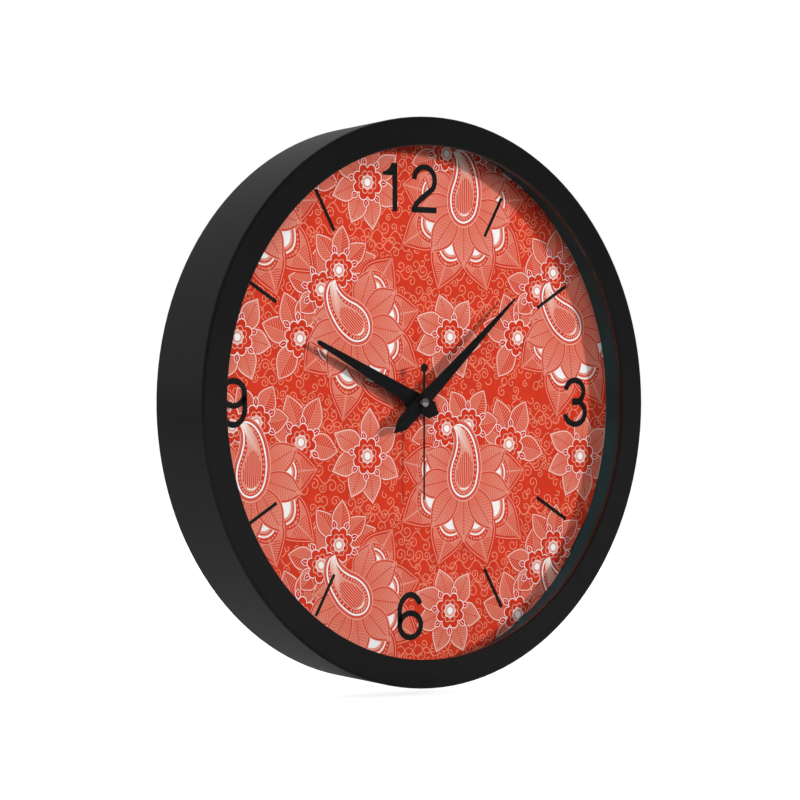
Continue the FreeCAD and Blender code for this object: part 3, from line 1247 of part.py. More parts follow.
def turn_to(body, angle):
    """Turn a hand, drawn pointing at 12, clockwise to its reading."""
    body.Placement = FreeCAD.Placement(FreeCAD.Vector(), FreeCAD.Rotation(FreeCAD.Vector(0, 1, 0), 1))
    body.setExpression("Placement.Rotation.Angle", bound(angle))


def mirrored(points):
    """An outline from its right half, listed from the tail's point to the tip."""
    inner = [point for point in reversed(points) if point[0] != "0"]
    return points + [(f"-{x}", z) for x, z in inner]


def make_hour_hand():
    """Long pentagon-tailed blade."""
    body = new_body("hour_hand")
    turn_to(body, "hour_angle")
    sketch = front_sketch(body, "hour_blade_depth")
    polygon(sketch, mirrored([
        ("0", "-hour_tail"),
        ("hour_half_width", "-hour_shoulder"),
        ("hour_tip_half_width", "(hour_length - hour_tip_length)"),
        ("(hour_tip_half_width - hour_tip_bevel)", "hour_length"),
    ]))
    pad(body, sketch, "blade_thickness")
    hole(body, "(hour_pipe_radius + hour_hole_gap)", "hour_blade_depth",
         "(hour_blade_depth + blade_thickness)")


def make_minute_hand():
    """Longer, slimmer blade."""
    body = new_body("minute_hand")
    turn_to(body, "minute_angle")
    sketch = front_sketch(body, "minute_blade_depth")
    polygon(sketch, mirrored([
        ("0", "-minute_tail"),
        ("minute_half_width", "-minute_shoulder"),
        ("minute_half_width", "minute_taper_start"),
        ("minute_tip_half_width", "(minute_length - minute_tip_length)"),
        ("(minute_tip_half_width - minute_tip_bevel)", "minute_length"),
    ]))
    pad(body, sketch, "blade_thickness")
    hole(body, "(minute_tube_radius + minute_hole_gap)", "minute_blade_depth",
         "(minute_blade_depth + blade_thickness)")


def make_second_hand():
    """Needle with a round counterweight on its tail."""
    body = new_body("second_hand")
    turn_to(body, "second_angle")
    back = "second_blade_depth"
    front = "(second_blade_depth + second_blade_thickness)"
    disc(body, "second_eye_radius", back, front)
    sketch = front_sketch(body, back)
    polygon(sketch, [
        ("second_tail_half_width", "-second_tail"),
        ("second_tail_half_width", "0"),
        ("second_half_width", "second_flare"),
        ("(second_half_width - second_taper)", "second_length"),
        ("-(second_half_width - second_taper)", "second_length"),
        ("-second_half_width", "second_flare"),
        ("-second_tail_half_width", "0"),
        ("-second_tail_half_width", "-second_tail"),
    ])
    pad(body, sketch, "second_blade_thickness")
    disc(body, "second_weight_radius", back, front, z="-second_tail")
    hole(body, "second_arbor_radius", back, front)


def make_hour_hand_bush():
    """Collet that grips the hour pipe, with a flange under the blade."""
    body = new_body("hour_hand_bush")
    turned(body, [
        ("hour_pipe_radius", "(hour_blade_depth - hour_bush_length)"),
        ("(hour_pipe_radius + hour_bush_wall)", "(hour_blade_depth - hour_bush_length)"),
        ("(hour_pipe_radius + hour_bush_wall)", "(hour_blade_depth - hour_flange_back)"),
        ("(hour_pipe_radius + hour_flange_wall)", "(hour_blade_depth - hour_flange_edge)"),
        ("(hour_pipe_radius + hour_flange_wall)", "hour_blade_depth"),
        ("hour_pipe_radius", "hour_blade_depth"),
    ])


def make_minute_hand_bush():
    """Collet riveted through the minute hand."""
    body = new_body("minute_hand_bush")
    blade_front = "(minute_blade_depth + blade_thickness)"
    turned(body, [
        ("minute_tube_radius", "(minute_blade_depth - minute_bush_length)"),
        ("(minute_tube_radius + minute_bush_wall)", "(minute_blade_depth - minute_bush_length)"),
        ("(minute_tube_radius + minute_bush_wall)", "minute_blade_depth"),
        ("(minute_tube_radius + minute_hole_gap)", "minute_blade_depth"),
        ("(minute_tube_radius + minute_hole_gap)", blade_front),
        ("(minute_tube_radius + minute_rivet_wall)", blade_front),
        ("(minute_tube_radius + minute_rivet_top)", f"({blade_front} + minute_rivet_height)"),
        ("minute_tube_radius", f"({blade_front} + minute_rivet_height)"),
    ])


def make_second_hand_tube():
    """Brass tube pressed on the second arbor, behind the needle."""
    body = new_body("second_hand_tube")
    turned(body, [
        ("second_arbor_radius", "(second_blade_depth - second_tube_length)"),
        ("second_tube_radius", "(second_blade_depth - second_tube_length)"),
        ("second_tube_radius", "(second_blade_depth - second_flange_height)"),
        ("second_flange_radius", "(second_blade_depth - second_flange_height)"),
        ("second_flange_radius", "second_blade_depth"),
        ("second_arbor_radius", "second_blade_depth"),
    ])


def make_second_hand_cap():
    """Bright domed cap over the end of the second arbor."""
    body = new_body("second_hand_cap")
    back = "(second_blade_depth + second_blade_thickness)"
    arbor_end = "(second_blade_depth + second_arbor_tip)"
    turned(body, [
        ("second_arbor_radius", back),
        ("cap_radius", back),
        ("cap_radius", f"({back} + cap_skirt)"),
        ("(cap_radius * cap_shoulder_share)", f"({back} + cap_shoulder)"),
        ("(cap_radius * cap_crown_share)", f"({back} + cap_crown)"),
        ("0", f"({back} + cap_height)"),
        ("0", arbor_end),
        ("second_arbor_radius", arbor_end),
    ])


# ---------------------------------------------------------------- build and write

make_case_ring()
make_glass_gasket()
make_glass()
make_spacer_ring()
make_dial_sheet()
make_dial_plate()
make_dial_screws()
make_hanger_bracket()
make_hanger_screws()
make_movement_housing()
make_movement_cover()
make_mounting_washer()
make_rotor_magnet()
make_rotor_pinion()
make_intermediate_wheel()
make_second_wheel()
make_second_arbor()
make_third_wheel()
make_centre_wheel()
make_clutch_spring()
make_cannon_pinion()
make_minute_wheel()
make_hour_wheel()
make_setting_knob()
make_stator()
make_coil_core()
make_coil_bobbin()
make_coil_winding()
make_coil_leads()
make_stator_screws()
make_circuit_board()
make_clock_chip()
make_crystal_can()
make_battery()
make_contact_positive()
make_contact_negative()
make_hour_hand()
make_hour_hand_bush()
make_minute_hand()
make_minute_hand_bush()
make_second_hand()
make_second_hand_tube()
make_second_hand_cap()

doc.recompute()
for thing in doc.Objects:
    if "Invalid" in thing.State or "Error" in thing.State:
        raise RuntimeError(f"{thing.Name} failed: {thing.State}")
for body in bodies:
    if body.Shape.isNull() or not body.Shape.isValid():
        raise RuntimeError(f"{body.Label} has no valid shape")

os.makedirs("parts", exist_ok=True)
for body in bodies:
    body.Shape.exportStep(f"parts/{body.Label}.step")
    box = body.Shape.BoundBox
    print(f"{body.Label:20s} solids {len(body.Shape.Solids)}  volume {body.Shape.Volume:10.2f}"
          f"  size {box.XLength:7.2f} {box.YLength:7.2f} {box.ZLength:7.2f}")
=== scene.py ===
# %% [markdown]
# # A 300 mm wall clock with a printed dial
#
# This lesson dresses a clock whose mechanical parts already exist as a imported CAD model, the frame.
# The frame gives every part its size and place. Blender adds what the CAD leaves out: the printed
# ornament of the dial, the finish of every moulding and metal part, the light and the camera.

# %% Load the frame
import cmath
import math
import random

import bmesh
import bpy
import mathutils
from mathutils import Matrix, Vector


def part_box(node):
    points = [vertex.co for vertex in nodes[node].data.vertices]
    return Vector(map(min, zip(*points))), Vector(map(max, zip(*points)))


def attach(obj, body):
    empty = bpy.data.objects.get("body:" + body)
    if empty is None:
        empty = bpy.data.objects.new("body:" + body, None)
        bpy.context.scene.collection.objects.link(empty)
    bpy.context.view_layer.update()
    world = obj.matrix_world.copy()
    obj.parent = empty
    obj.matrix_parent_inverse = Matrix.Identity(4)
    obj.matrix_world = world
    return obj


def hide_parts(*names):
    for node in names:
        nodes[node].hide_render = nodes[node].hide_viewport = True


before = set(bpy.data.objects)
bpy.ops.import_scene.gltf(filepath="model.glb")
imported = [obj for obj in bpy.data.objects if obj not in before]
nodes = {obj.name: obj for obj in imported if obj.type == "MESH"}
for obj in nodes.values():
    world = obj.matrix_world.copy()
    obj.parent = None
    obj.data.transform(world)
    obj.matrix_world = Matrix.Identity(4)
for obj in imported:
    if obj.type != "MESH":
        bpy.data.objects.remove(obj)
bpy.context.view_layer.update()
scene = bpy.context.scene
MM = 0.001

# %% [markdown]
# ## Two helpers
#
# Every shader node below has a few of its inputs set to plain values, and every shape is built as a
# bmesh and then shown as an object with one material. One function does each job.

# %% Helpers
def settle(node, **values):
    """Set inputs of a node by name; an underscore stands for a space."""
    for name, value in values.items():
        node.inputs[name.replace("_", " ")].default_value = value


def show(name, build, material):
    """Turn a finished bmesh into an object of the scene."""
    mesh = bpy.data.meshes.new(name)
    build.to_mesh(mesh)
    build.free()
    mesh.materials.append(material)
    shown = bpy.data.objects.new(name, mesh)
    scene.collection.objects.link(shown)
    return shown


print("helpers ready")

# %% [markdown]
# ## The camera
#
# A clock on a wall is seen here from its left, at the height of its centre, so that the deep side
# wall of the case shows as well as the dial. A long lens keeps the round rim close to an ellipse.

# %% Camera
VIEW_AZIMUTH = math.radians(-40)
VIEW_DISTANCE = 1.9
RIM_FRONT = -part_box("case_ring")[0].y

camera_data = bpy.data.cameras.new("camera")
camera_data.lens = 163.1
camera_data.shift_x = -0.0425
camera_data.shift_y = 0.00325
camera = bpy.data.objects.new("camera", camera_data)
camera.location = (math.sin(VIEW_AZIMUTH) * VIEW_DISTANCE,
                   -RIM_FRONT - math.cos(VIEW_AZIMUTH) * VIEW_DISTANCE, 0.0)
camera.rotation_euler = (math.radians(90), 0.0, VIEW_AZIMUTH)
scene.collection.objects.link(camera)
scene.camera = camera
print("camera at", [round(c, 3) for c in camera.location])

# %% [markdown]
# ## Studio
#
# The studio is white all round. The world is full white where the camera looks straight at it and
# dimmer as a light source, because a black satin case in a fully white room would look grey.
# As a light it is weaker in front of the clock than behind it, and glossy surfaces mirror that.

# %% World
FULL_WHITE = (1.0, 1.0, 1.0, 1.0)
FRONT_LIGHT, BACK_LIGHT = 0.12, 0.29
scene.view_settings.view_transform = "Standard"
world = bpy.data.worlds.new("studio_world")
world.use_nodes = True
world_nodes = world.node_tree.nodes
world_links = world.node_tree.links
seen = world_nodes["Background"]
settle(seen, Color=FULL_WHITE, Strength=1.0)
lighting = world_nodes.new("ShaderNodeBackground")
settle(lighting, Color=FULL_WHITE)
direction = world_nodes.new("ShaderNodeTexCoord")
depth_axis = world_nodes.new("ShaderNodeSeparateXYZ")
brighter = world_nodes.new("ShaderNodeMapRange")
brighter.interpolation_type = "SMOOTHSTEP"
settle(brighter, From_Min=-0.4, From_Max=0.8, To_Min=FRONT_LIGHT, To_Max=BACK_LIGHT)
world_links.new(direction.outputs["Generated"], depth_axis.inputs["Vector"])
world_links.new(depth_axis.outputs["Y"], brighter.inputs["Value"])
world_links.new(brighter.outputs["Result"], lighting.inputs["Strength"])
which = world_nodes.new("ShaderNodeMixShader")
ray = world_nodes.new("ShaderNodeLightPath")
world_links.new(ray.outputs["Is Camera Ray"], which.inputs["Fac"])
world_links.new(lighting.outputs[0], which.inputs[1])
world_links.new(seen.outputs[0], which.inputs[2])
world_links.new(which.outputs[0], world_nodes["World Output"].inputs["Surface"])
scene.world = world
print("world set, view transform", scene.view_settings.view_transform)

# %% [markdown]
# ## Lights
#
# The key light is small enough to let the hands throw soft shadows down and to the left on the
# dial, and a wide panel on the left fills them. A last lamp stands behind the clock, for its back.
# No lamp shows as a glare in glossy surfaces.

# %% Lights
def panel_light(name, place, aim, size, power):
    """A square soft light at a place, turned towards a point."""
    data = bpy.data.lights.new(name, "AREA")
    data.size = size
    data.energy = power
    light = bpy.data.objects.new(name, data)
    light.location = place
    towards = mathutils.Vector(aim) - mathutils.Vector(place)
    light.rotation_euler = towards.to_track_quat("-Z", "Y").to_euler()
    light.visible_glossy = False
    scene.collection.objects.link(light)


DIAL_CENTRE = (0.0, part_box("dial_sheet")[0].y, 0.0)
KEY_DIRECTION = mathutils.Vector((0.44, -1.0, 0.24)).normalized()
KEY_DISTANCE = 2.2
key_place = mathutils.Vector(DIAL_CENTRE) + KEY_DIRECTION * KEY_DISTANCE
panel_light("key_light", key_place, DIAL_CENTRE, size=0.2, power=26)
panel_light("fill_panel", (-1.2, -2.2, 1.0), DIAL_CENTRE, size=1.6, power=32)
panel_light("back_panel", (0.9, 1.6, 0.9), (0.0, 0.0, 0.0), size=1.2, power=26)

# %% [markdown]
# ## Floor
#
# The floor is a wide sheet a few millimetres under the case. It is part of the studio, not of the
# clock. To the camera it glows white, which is painted light. Close to the clock it glows less, which
# is a painted shade round the case, and the real shadow of the case falls there as well.

# %% Floor
FLOOR_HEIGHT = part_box("case_ring")[0].z - 0.004
FLOOR_HALF_SIDE = 12.0
# Within these distances of the floor's centre the camera glow is weaker: a painted shade round the
# clock, added to its real cast shadow.
PAINTED_SHADE_CORE, PAINTED_SHADE_EDGE = 0.03, 0.22
GLOW_AT_CORE = 0.6

floor_paint = bpy.data.materials.new("floor_paint")
floor_paint.use_nodes = True
floor_tree = floor_paint.node_tree
floor_shader = floor_tree.nodes["Principled BSDF"]
settle(floor_shader, Base_Color=(0.4, 0.4, 0.4, 1.0), Roughness=0.9, Specular_IOR_Level=0.1,
       Emission_Color=FULL_WHITE)
floor_ray = floor_tree.nodes.new("ShaderNodeLightPath")
floor_glow = floor_tree.nodes.new("ShaderNodeMath")
floor_glow.operation = "MULTIPLY"
floor_place = floor_tree.nodes.new("ShaderNodeTexCoord")
floor_distance = floor_tree.nodes.new("ShaderNodeVectorMath")
floor_distance.operation = "LENGTH"
# Glow strength by distance from the clock, lower close to it: this is the painted shade on the floor.
painted_floor_shade = floor_tree.nodes.new("ShaderNodeMapRange")
settle(painted_floor_shade, From_Min=PAINTED_SHADE_CORE, From_Max=PAINTED_SHADE_EDGE, To_Min=GLOW_AT_CORE, To_Max=1.0)
floor_tree.links.new(floor_place.outputs["Object"], floor_distance.inputs[0])
floor_tree.links.new(floor_distance.outputs["Value"], painted_floor_shade.inputs["Value"])
floor_tree.links.new(painted_floor_shade.outputs["Result"], floor_glow.inputs[1])
floor_tree.links.new(floor_ray.outputs["Is Camera Ray"], floor_glow.inputs[0])
floor_tree.links.new(floor_glow.outputs[0], floor_shader.inputs["Emission Strength"])

floor_build = bmesh.new()
bmesh.ops.create_grid(floor_build, x_segments=1, y_segments=1, size=FLOOR_HALF_SIDE)
bmesh.ops.translate(floor_build, verts=floor_build.verts, vec=(0.0, 0.0, FLOOR_HEIGHT))
floor = show("studio_floor", floor_build, floor_paint)
print("floor at", round(FLOOR_HEIGHT, 4))

# %% [markdown]
# ## Building a material from a few layers
#
# Every finish starts from one Principled shader. A slow noise shifts the colour a little, as resin,
# paint and plating do. A second, finer noise becomes the grain: it moves the roughness and drives a
# bump. Both read Object coordinates, so the pattern stays on the part when the part moves. A finish
# has the name of the material slot that it will fill, and is kept under that name.

# %% Material helpers
finishes = {}


def shader_of(name):
    """Start a finish: its Principled shader and its node tree."""
    made = bpy.data.materials.new(name)
    made.use_nodes = True
    finishes[name] = made
    return made.node_tree.nodes["Principled BSDF"], made.node_tree


def noise(tree, size, detail=3.0, stretch=(1.0, 1.0, 1.0)):
    """A noise over Object coordinates whose spots are about size metres across."""
    coordinates = tree.nodes.new("ShaderNodeTexCoord")
    mapping = tree.nodes.new("ShaderNodeMapping")
    settle(mapping, Scale=stretch)
    texture = tree.nodes.new("ShaderNodeTexNoise")
    settle(texture, Scale=1.0 / size, Detail=detail)
    tree.links.new(coordinates.outputs["Object"], mapping.inputs["Vector"])
    tree.links.new(mapping.outputs["Vector"], texture.inputs["Vector"])
    return texture.outputs["Fac"]


def two_colours(tree, factor, low, high, low_at=0.35, high_at=0.65):
    """A ramp from one colour to another, driven by a factor."""
    ramp = tree.nodes.new("ShaderNodeValToRGB")
    ramp.color_ramp.elements[0].position = low_at
    ramp.color_ramp.elements[0].color = (*low, 1.0)
    ramp.color_ramp.elements[1].position = high_at
    ramp.color_ramp.elements[1].color = (*high, 1.0)
    tree.links.new(factor, ramp.inputs["Fac"])
    return ramp.outputs["Color"]


def spread(tree, factor, low, high):
    """A factor of 0 to 1 stretched to lie between two numbers."""
    ranger = tree.nodes.new("ShaderNodeMapRange")
    settle(ranger, To_Min=low, To_Max=high)
    tree.links.new(factor, ranger.inputs["Value"])
    return ranger.outputs["Result"]


def relief(tree, shader, height, depth, strength=0.5):
    """A bump on the shader, depth metres deep."""
    bump = tree.nodes.new("ShaderNodeBump")
    settle(bump, Strength=strength, Distance=depth)
    tree.links.new(height, bump.inputs["Height"])
    tree.links.new(bump.outputs["Normal"], shader.inputs["Normal"])


def shade(colour, factor):
    """A colour made lighter or darker."""
    return tuple(min(1.0, part * factor) for part in colour)


def moulded(name, colour, roughness, grain=0.0006, depth=0.00002, specular=0.5, mottle=0.12):
    """Injection-moulded plastic: even colour, spark-eroded grain, satin gloss."""
    shader, tree = shader_of(name)
    cloud = noise(tree, 0.03)
    pits = noise(tree, grain, 2.0)
    tint = two_colours(tree, cloud, shade(colour, 1.0 - mottle), shade(colour, 1.0 + mottle))
    tree.links.new(tint, shader.inputs["Base Color"])
    sheen = spread(tree, pits, roughness - 0.07, roughness + 0.07)
    tree.links.new(sheen, shader.inputs["Roughness"])
    settle(shader, Specular_IOR_Level=specular)
    relief(tree, shader, pits, depth)


def metal(name, colour, roughness, grain=0.0008, stretch=(1.0, 1.0, 1.0), mottle=0.1):
    """Plated or turned metal: full metallic, with fine marks that a stretch draws out."""
    shader, tree = shader_of(name)
    cloud = noise(tree, 0.008)
    marks = noise(tree, grain, 4.0, stretch)
    tint = two_colours(tree, cloud, shade(colour, 1.0 - mottle), shade(colour, 1.0 + mottle))
    tree.links.new(tint, shader.inputs["Base Color"])
    sheen = spread(tree, marks, roughness * 0.7, roughness * 1.3)
    tree.links.new(sheen, shader.inputs["Roughness"])
    settle(shader, Metallic=1.0)
    relief(tree, shader, marks, 0.000008)


print("material helpers ready")

# %% [markdown]
# ## Finishes seen from the front
#
# The case is one black satin moulding. Its grain is fine and shallow, so the lip stays quiet and
# only the turned-back side wall catches the panel light. The sloping ring between glass and dial is
# the same resin with a touch of blue-grey. The hands are lacquered aluminium, the cap is chrome.

# %% Finishes seen from the front
moulded("case_plastic", (0.0035, 0.0035, 0.0036), 0.32, grain=0.0005, depth=0.000008)
moulded("spacer_plastic", (0.014, 0.078, 0.088), 0.45, grain=0.0007, depth=0.00001, specular=0.2)
moulded("gasket_foam", (0.02, 0.02, 0.02), 0.9, grain=0.0004, depth=0.00012)
moulded("hand_black", (0.0035, 0.0035, 0.004), 0.3, grain=0.0009, depth=0.000004, specular=0.35)
metal("cap_chrome", (0.78, 0.78, 0.8), 0.14, grain=0.0006, mottle=0.04)
print("front finishes:", sorted(finishes))

# %% [markdown]
# ## Glass
#
# The lens is a flat disc of clear glass. A fully refracting shader would stop the lamp from casting
# clean shadows on the dial, so the glass is made mostly transparent with a sharp, weak gloss. A
# very slow noise makes the faint waviness of drawn glass.

# %% Glass
clear_shader, clear_tree = shader_of("dial_glass")
settle(clear_shader, Base_Color=(0.02, 0.03, 0.03, 1.0), Alpha=0.02, Specular_IOR_Level=0.8)
waves = noise(clear_tree, 0.05, 1.0)
clear_tree.links.new(spread(clear_tree, waves, 0.02, 0.05), clear_shader.inputs["Roughness"])
relief(clear_tree, clear_shader, waves, 0.00004, 0.2)
print("glass alpha", clear_shader.inputs["Alpha"].default_value)

# %% [markdown]
# ## Finishes behind the dial
#
# The dial plate and the setting knob are off-white mouldings, the movement is black, and its wheels
# are natural acetal. Bracket and screws are zinc plated: a mottled, brushed grey. These are seen
# when the clock is taken off the wall.

# %% Finishes behind the dial
moulded("plate_plastic", (0.66, 0.66, 0.63), 0.5, grain=0.0009, depth=0.00003, mottle=0.04)
moulded("knob_plastic", (0.74, 0.74, 0.71), 0.45, mottle=0.04)
moulded("movement_plastic", (0.014, 0.014, 0.015), 0.5, grain=0.0007, depth=0.00003)
moulded("wheel_plastic", (0.8, 0.8, 0.74), 0.35, mottle=0.04)
moulded("washer_rubber", (0.018, 0.018, 0.018), 0.8, depth=0.00004)
moulded("bobbin_plastic", (0.58, 0.05, 0.04), 0.4)
moulded("chip_resin", (0.01, 0.01, 0.01), 0.25)
metal("screw_steel", (0.5, 0.51, 0.53), 0.32)
metal("bracket_steel", (0.48, 0.5, 0.52), 0.36, stretch=(0.15, 1.0, 1.0))
metal("magnet", (0.1, 0.1, 0.11), 0.55)
metal("arbor_steel", (0.62, 0.62, 0.64), 0.2, stretch=(1.0, 0.2, 1.0))
metal("tube_brass", (0.78, 0.56, 0.24), 0.24, stretch=(1.0, 0.2, 1.0))
metal("soft_iron", (0.4, 0.4, 0.42), 0.45, stretch=(1.0, 1.0, 0.2))
metal("crystal_case", (0.72, 0.72, 0.74), 0.22)
metal("contact_metal", (0.66, 0.64, 0.58), 0.28, stretch=(0.3, 1.0, 1.0))
print("finishes so far:", len(finishes))

# %% [markdown]
# ## Winding, board and battery
#
# Three parts need a pattern of their own. The coil shows the turns of its wire as fine bands across
# its length. The board is brown paper laminate with a fibre grain. The battery has a printed
# sleeve in two plain colours and bare steel ends; the colour changes along its length.

# %% Winding, board and battery
WIRE_SCALE = 2000.0  # 20 radians per metre and unit of scale: one band in 0.157 mm
wire_shader, wire_tree = shader_of("copper_wire")
wire_place = wire_tree.nodes.new("ShaderNodeTexCoord")
turns = wire_tree.nodes.new("ShaderNodeTexWave")
turns.bands_direction = "Z"
settle(turns, Scale=WIRE_SCALE)
wire_tree.links.new(wire_place.outputs["Object"], turns.inputs["Vector"])
wire_colour = two_colours(wire_tree, turns.outputs["Fac"], (0.3, 0.09, 0.03), (0.78, 0.32, 0.13),
                          0.1, 0.8)
wire_tree.links.new(wire_colour, wire_shader.inputs["Base Color"])
settle(wire_shader, Metallic=0.85, Roughness=0.28)
relief(wire_tree, wire_shader, turns.outputs["Fac"], 0.00008, 1.0)

board_shader, board_tree = shader_of("board_laminate")
fibre = noise(board_tree, 0.0012, 5.0, (1.0, 1.0, 0.25))
board_colour = two_colours(board_tree, fibre, (0.3, 0.16, 0.05), (0.44, 0.27, 0.1))
board_tree.links.new(board_colour, board_shader.inputs["Base Color"])
settle(board_shader, Roughness=0.4)
relief(board_tree, board_shader, fibre, 0.00002)

sleeve_shader, sleeve_tree = shader_of("battery_wrap")
cell_low, cell_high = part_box("battery")
along = sleeve_tree.nodes.new("ShaderNodeTexCoord")
split = sleeve_tree.nodes.new("ShaderNodeSeparateXYZ")
place = sleeve_tree.nodes.new("ShaderNodeMapRange")
settle(place, From_Min=cell_low.x, From_Max=cell_high.x)
stripe = sleeve_tree.nodes.new("ShaderNodeValToRGB")
stripe.color_ramp.interpolation = "CONSTANT"
BARE_STEEL = (0.6, 0.6, 0.6, 1.0)
stripe.color_ramp.elements[0].color = BARE_STEEL
stripe.color_ramp.elements[1].position = 0.02
stripe.color_ramp.elements[1].color = (0.02, 0.025, 0.035, 1.0)
stripe.color_ramp.elements.new(0.66).color = (0.55, 0.3, 0.12, 1.0)
stripe.color_ramp.elements.new(0.955).color = BARE_STEEL
scuffs = noise(sleeve_tree, 0.002, 4.0)
sleeve_tree.links.new(along.outputs["Object"], split.inputs["Vector"])
sleeve_tree.links.new(split.outputs["X"], place.inputs["Value"])
sleeve_tree.links.new(place.outputs["Result"], stripe.inputs["Fac"])
sleeve_tree.links.new(stripe.outputs["Color"], sleeve_shader.inputs["Base Color"])
sleeve_tree.links.new(spread(sleeve_tree, scuffs, 0.22, 0.38), sleeve_shader.inputs["Roughness"])
settle(sleeve_shader, Metallic=0.55)
relief(sleeve_tree, sleeve_shader, scuffs, 0.00001)
print("battery sleeve runs over", round((cell_high.x - cell_low.x) / MM, 1), "mm")

# %% [markdown]
# ## The inks of the dial
#
# The dial is a sheet of printing board. Its whole ground is red-orange, and each further ink is a
# thin flat layer above it, as in screen printing. All inks are matt, with the tooth of the board,
# and the plain ones are slightly uneven. The salmon ink follows a shade attribute from 0 to 1
# instead, with which a petal or a paisley runs from dark to almost white.

# %% Ink materials
RED = (0.69, 0.04, 0.014)
DEEP_RED = (0.67, 0.035, 0.01)
PEACH = (0.85, 0.27, 0.172)
SALMON_DARK = (0.67, 0.085, 0.045)
SALMON = (0.785, 0.205, 0.138)
PALE = (0.88, 0.55, 0.46)
WHITE = (0.97, 0.955, 0.945)
BLACK = (0.008, 0.009, 0.009)


def matt(tree, shader, tooth):
    """The dull surface that all inks share."""
    tree.links.new(spread(tree, tooth, 0.5, 0.62), shader.inputs["Roughness"])
    settle(shader, Specular_IOR_Level=0.25)
    relief(tree, shader, tooth, 0.00001, 0.3)


def ink(name, colour, unevenness=0.06):
    """A matt printed ink with the tooth of the board under it."""
    shader, tree = shader_of(name)
    cloud = noise(tree, 0.012)
    tooth = noise(tree, 0.0004, 2.0)
    weak, strong = shade(colour, 1.0 - unevenness), shade(colour, 1.0 + unevenness)
    tree.links.new(two_colours(tree, cloud, weak, strong), shader.inputs["Base Color"])
    matt(tree, shader, tooth)
    return finishes[name]


def shaded_ink(name):
    """An ink whose colour follows the shade attribute from dark salmon to white."""
    shader, tree = shader_of(name)
    tone = tree.nodes.new("ShaderNodeAttribute")
    tone.attribute_name = "shade"
    ramp = tree.nodes.new("ShaderNodeValToRGB")
    ramp.color_ramp.elements[0].color = (*SALMON_DARK, 1.0)
    ramp.color_ramp.elements[1].color = (*WHITE, 1.0)
    ramp.color_ramp.elements.new(0.35).color = (*SALMON, 1.0)
    ramp.color_ramp.elements.new(0.75).color = (*PALE, 1.0)
    tooth = noise(tree, 0.0004, 2.0)
    tree.links.new(tone.outputs["Fac"], ramp.inputs["Fac"])
    tree.links.new(ramp.outputs["Color"], shader.inputs["Base Color"])
    matt(tree, shader, tooth)
    return finishes[name]


ink("dial_print", RED)
ink_finishes = {"field": ink("ink_field", RED), "deep": ink("ink_deep_red", DEEP_RED),
                "peach": ink("ink_peach", PEACH), "salmon": shaded_ink("ink_salmon"),
                "white": ink("ink_white", WHITE, 0.02), "black": ink("ink_black", BLACK)}
print("inks:", sorted(ink_finishes))

# %% [markdown]
# ## Dress the CAD parts
#
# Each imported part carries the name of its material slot, so one loop gives every part its finish.

# %% Dress the CAD parts
for node_name, part in nodes.items():
    slot_name = part.material_slots[0].material.name.split(".")[0]
    part.material_slots[0].material = finishes[slot_name]
print("dressed", len(nodes), "parts with", len(finishes), "finishes")

# %% [markdown]
# ## Drawing the print
#
# All drawing happens flat, in millimetres on the dial, with a complex number for each point: its
# real part runs to the reader's right and its imaginary part up. Turning a motif is then one
# multiplication. Each ink collects filled shapes and strokes. At the end a fill becomes one face
# that is triangulated, and all strokes are edges that one extrude operator widens into ribbons.
# A level decides which layer covers which; one level is a hundredth of a millimetre.

# %% Ink layers
LEVEL = 0.010
PRINT_RADIUS = 140.5
PIPE_HOLE = 4.2
CHART_SPAN = 0.284  # metres of dial across the bake's chart
SLIVER = 1e-13  # square metres, below which a face is dropped
SHEET_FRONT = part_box("dial_sheet")[0].y / MM
fills = {name: [] for name in ink_finishes}
strokes = {name: [] for name in ink_finishes}


def trimmed(points):
    """The points with any that lie past the rim or over the centre hole drawn back to its edge."""
    if min(abs(p) for p in points) > PRINT_RADIUS or max(abs(p) for p in points) < PIPE_HOLE:
        return []
    kept = []
    for p in points:
        reach = max(PIPE_HOLE, min(PRINT_RADIUS, abs(p)))
        kept.append(p * reach / abs(p) if abs(p) > 0 else complex(PIPE_HOLE, 0))
    return kept


def fill(ink_name, points, level, tone=0.3):
    """A filled shape; tone is the shade of the ink, or a function that gives it at a point."""
    kept = trimmed(points)
    if len(kept) > 2:
        tones = [tone(p) if callable(tone) else tone for p in points]
        fills[ink_name].append((kept, level, tones))


def stroke(ink_name, points, width, level, closed=False, tone=0.3):
    """A line of one width along the points."""
    kept = trimmed(points)
    if len(kept) > 1:
        strokes[ink_name].append((kept, width, level, closed, tone))


def normals(points, closed):
    """The unit sideways direction at each point of a line."""
    count = len(points)
    sides = []
    for i in range(count):
        before = points[(i - 1) % count] if closed or i > 0 else points[i]
        after = points[(i + 1) % count] if closed or i < count - 1 else points[i]
        ahead = after - before
        sides.append(ahead / abs(ahead) * 1j if abs(ahead) > 1e-9 else 0j)
    return sides


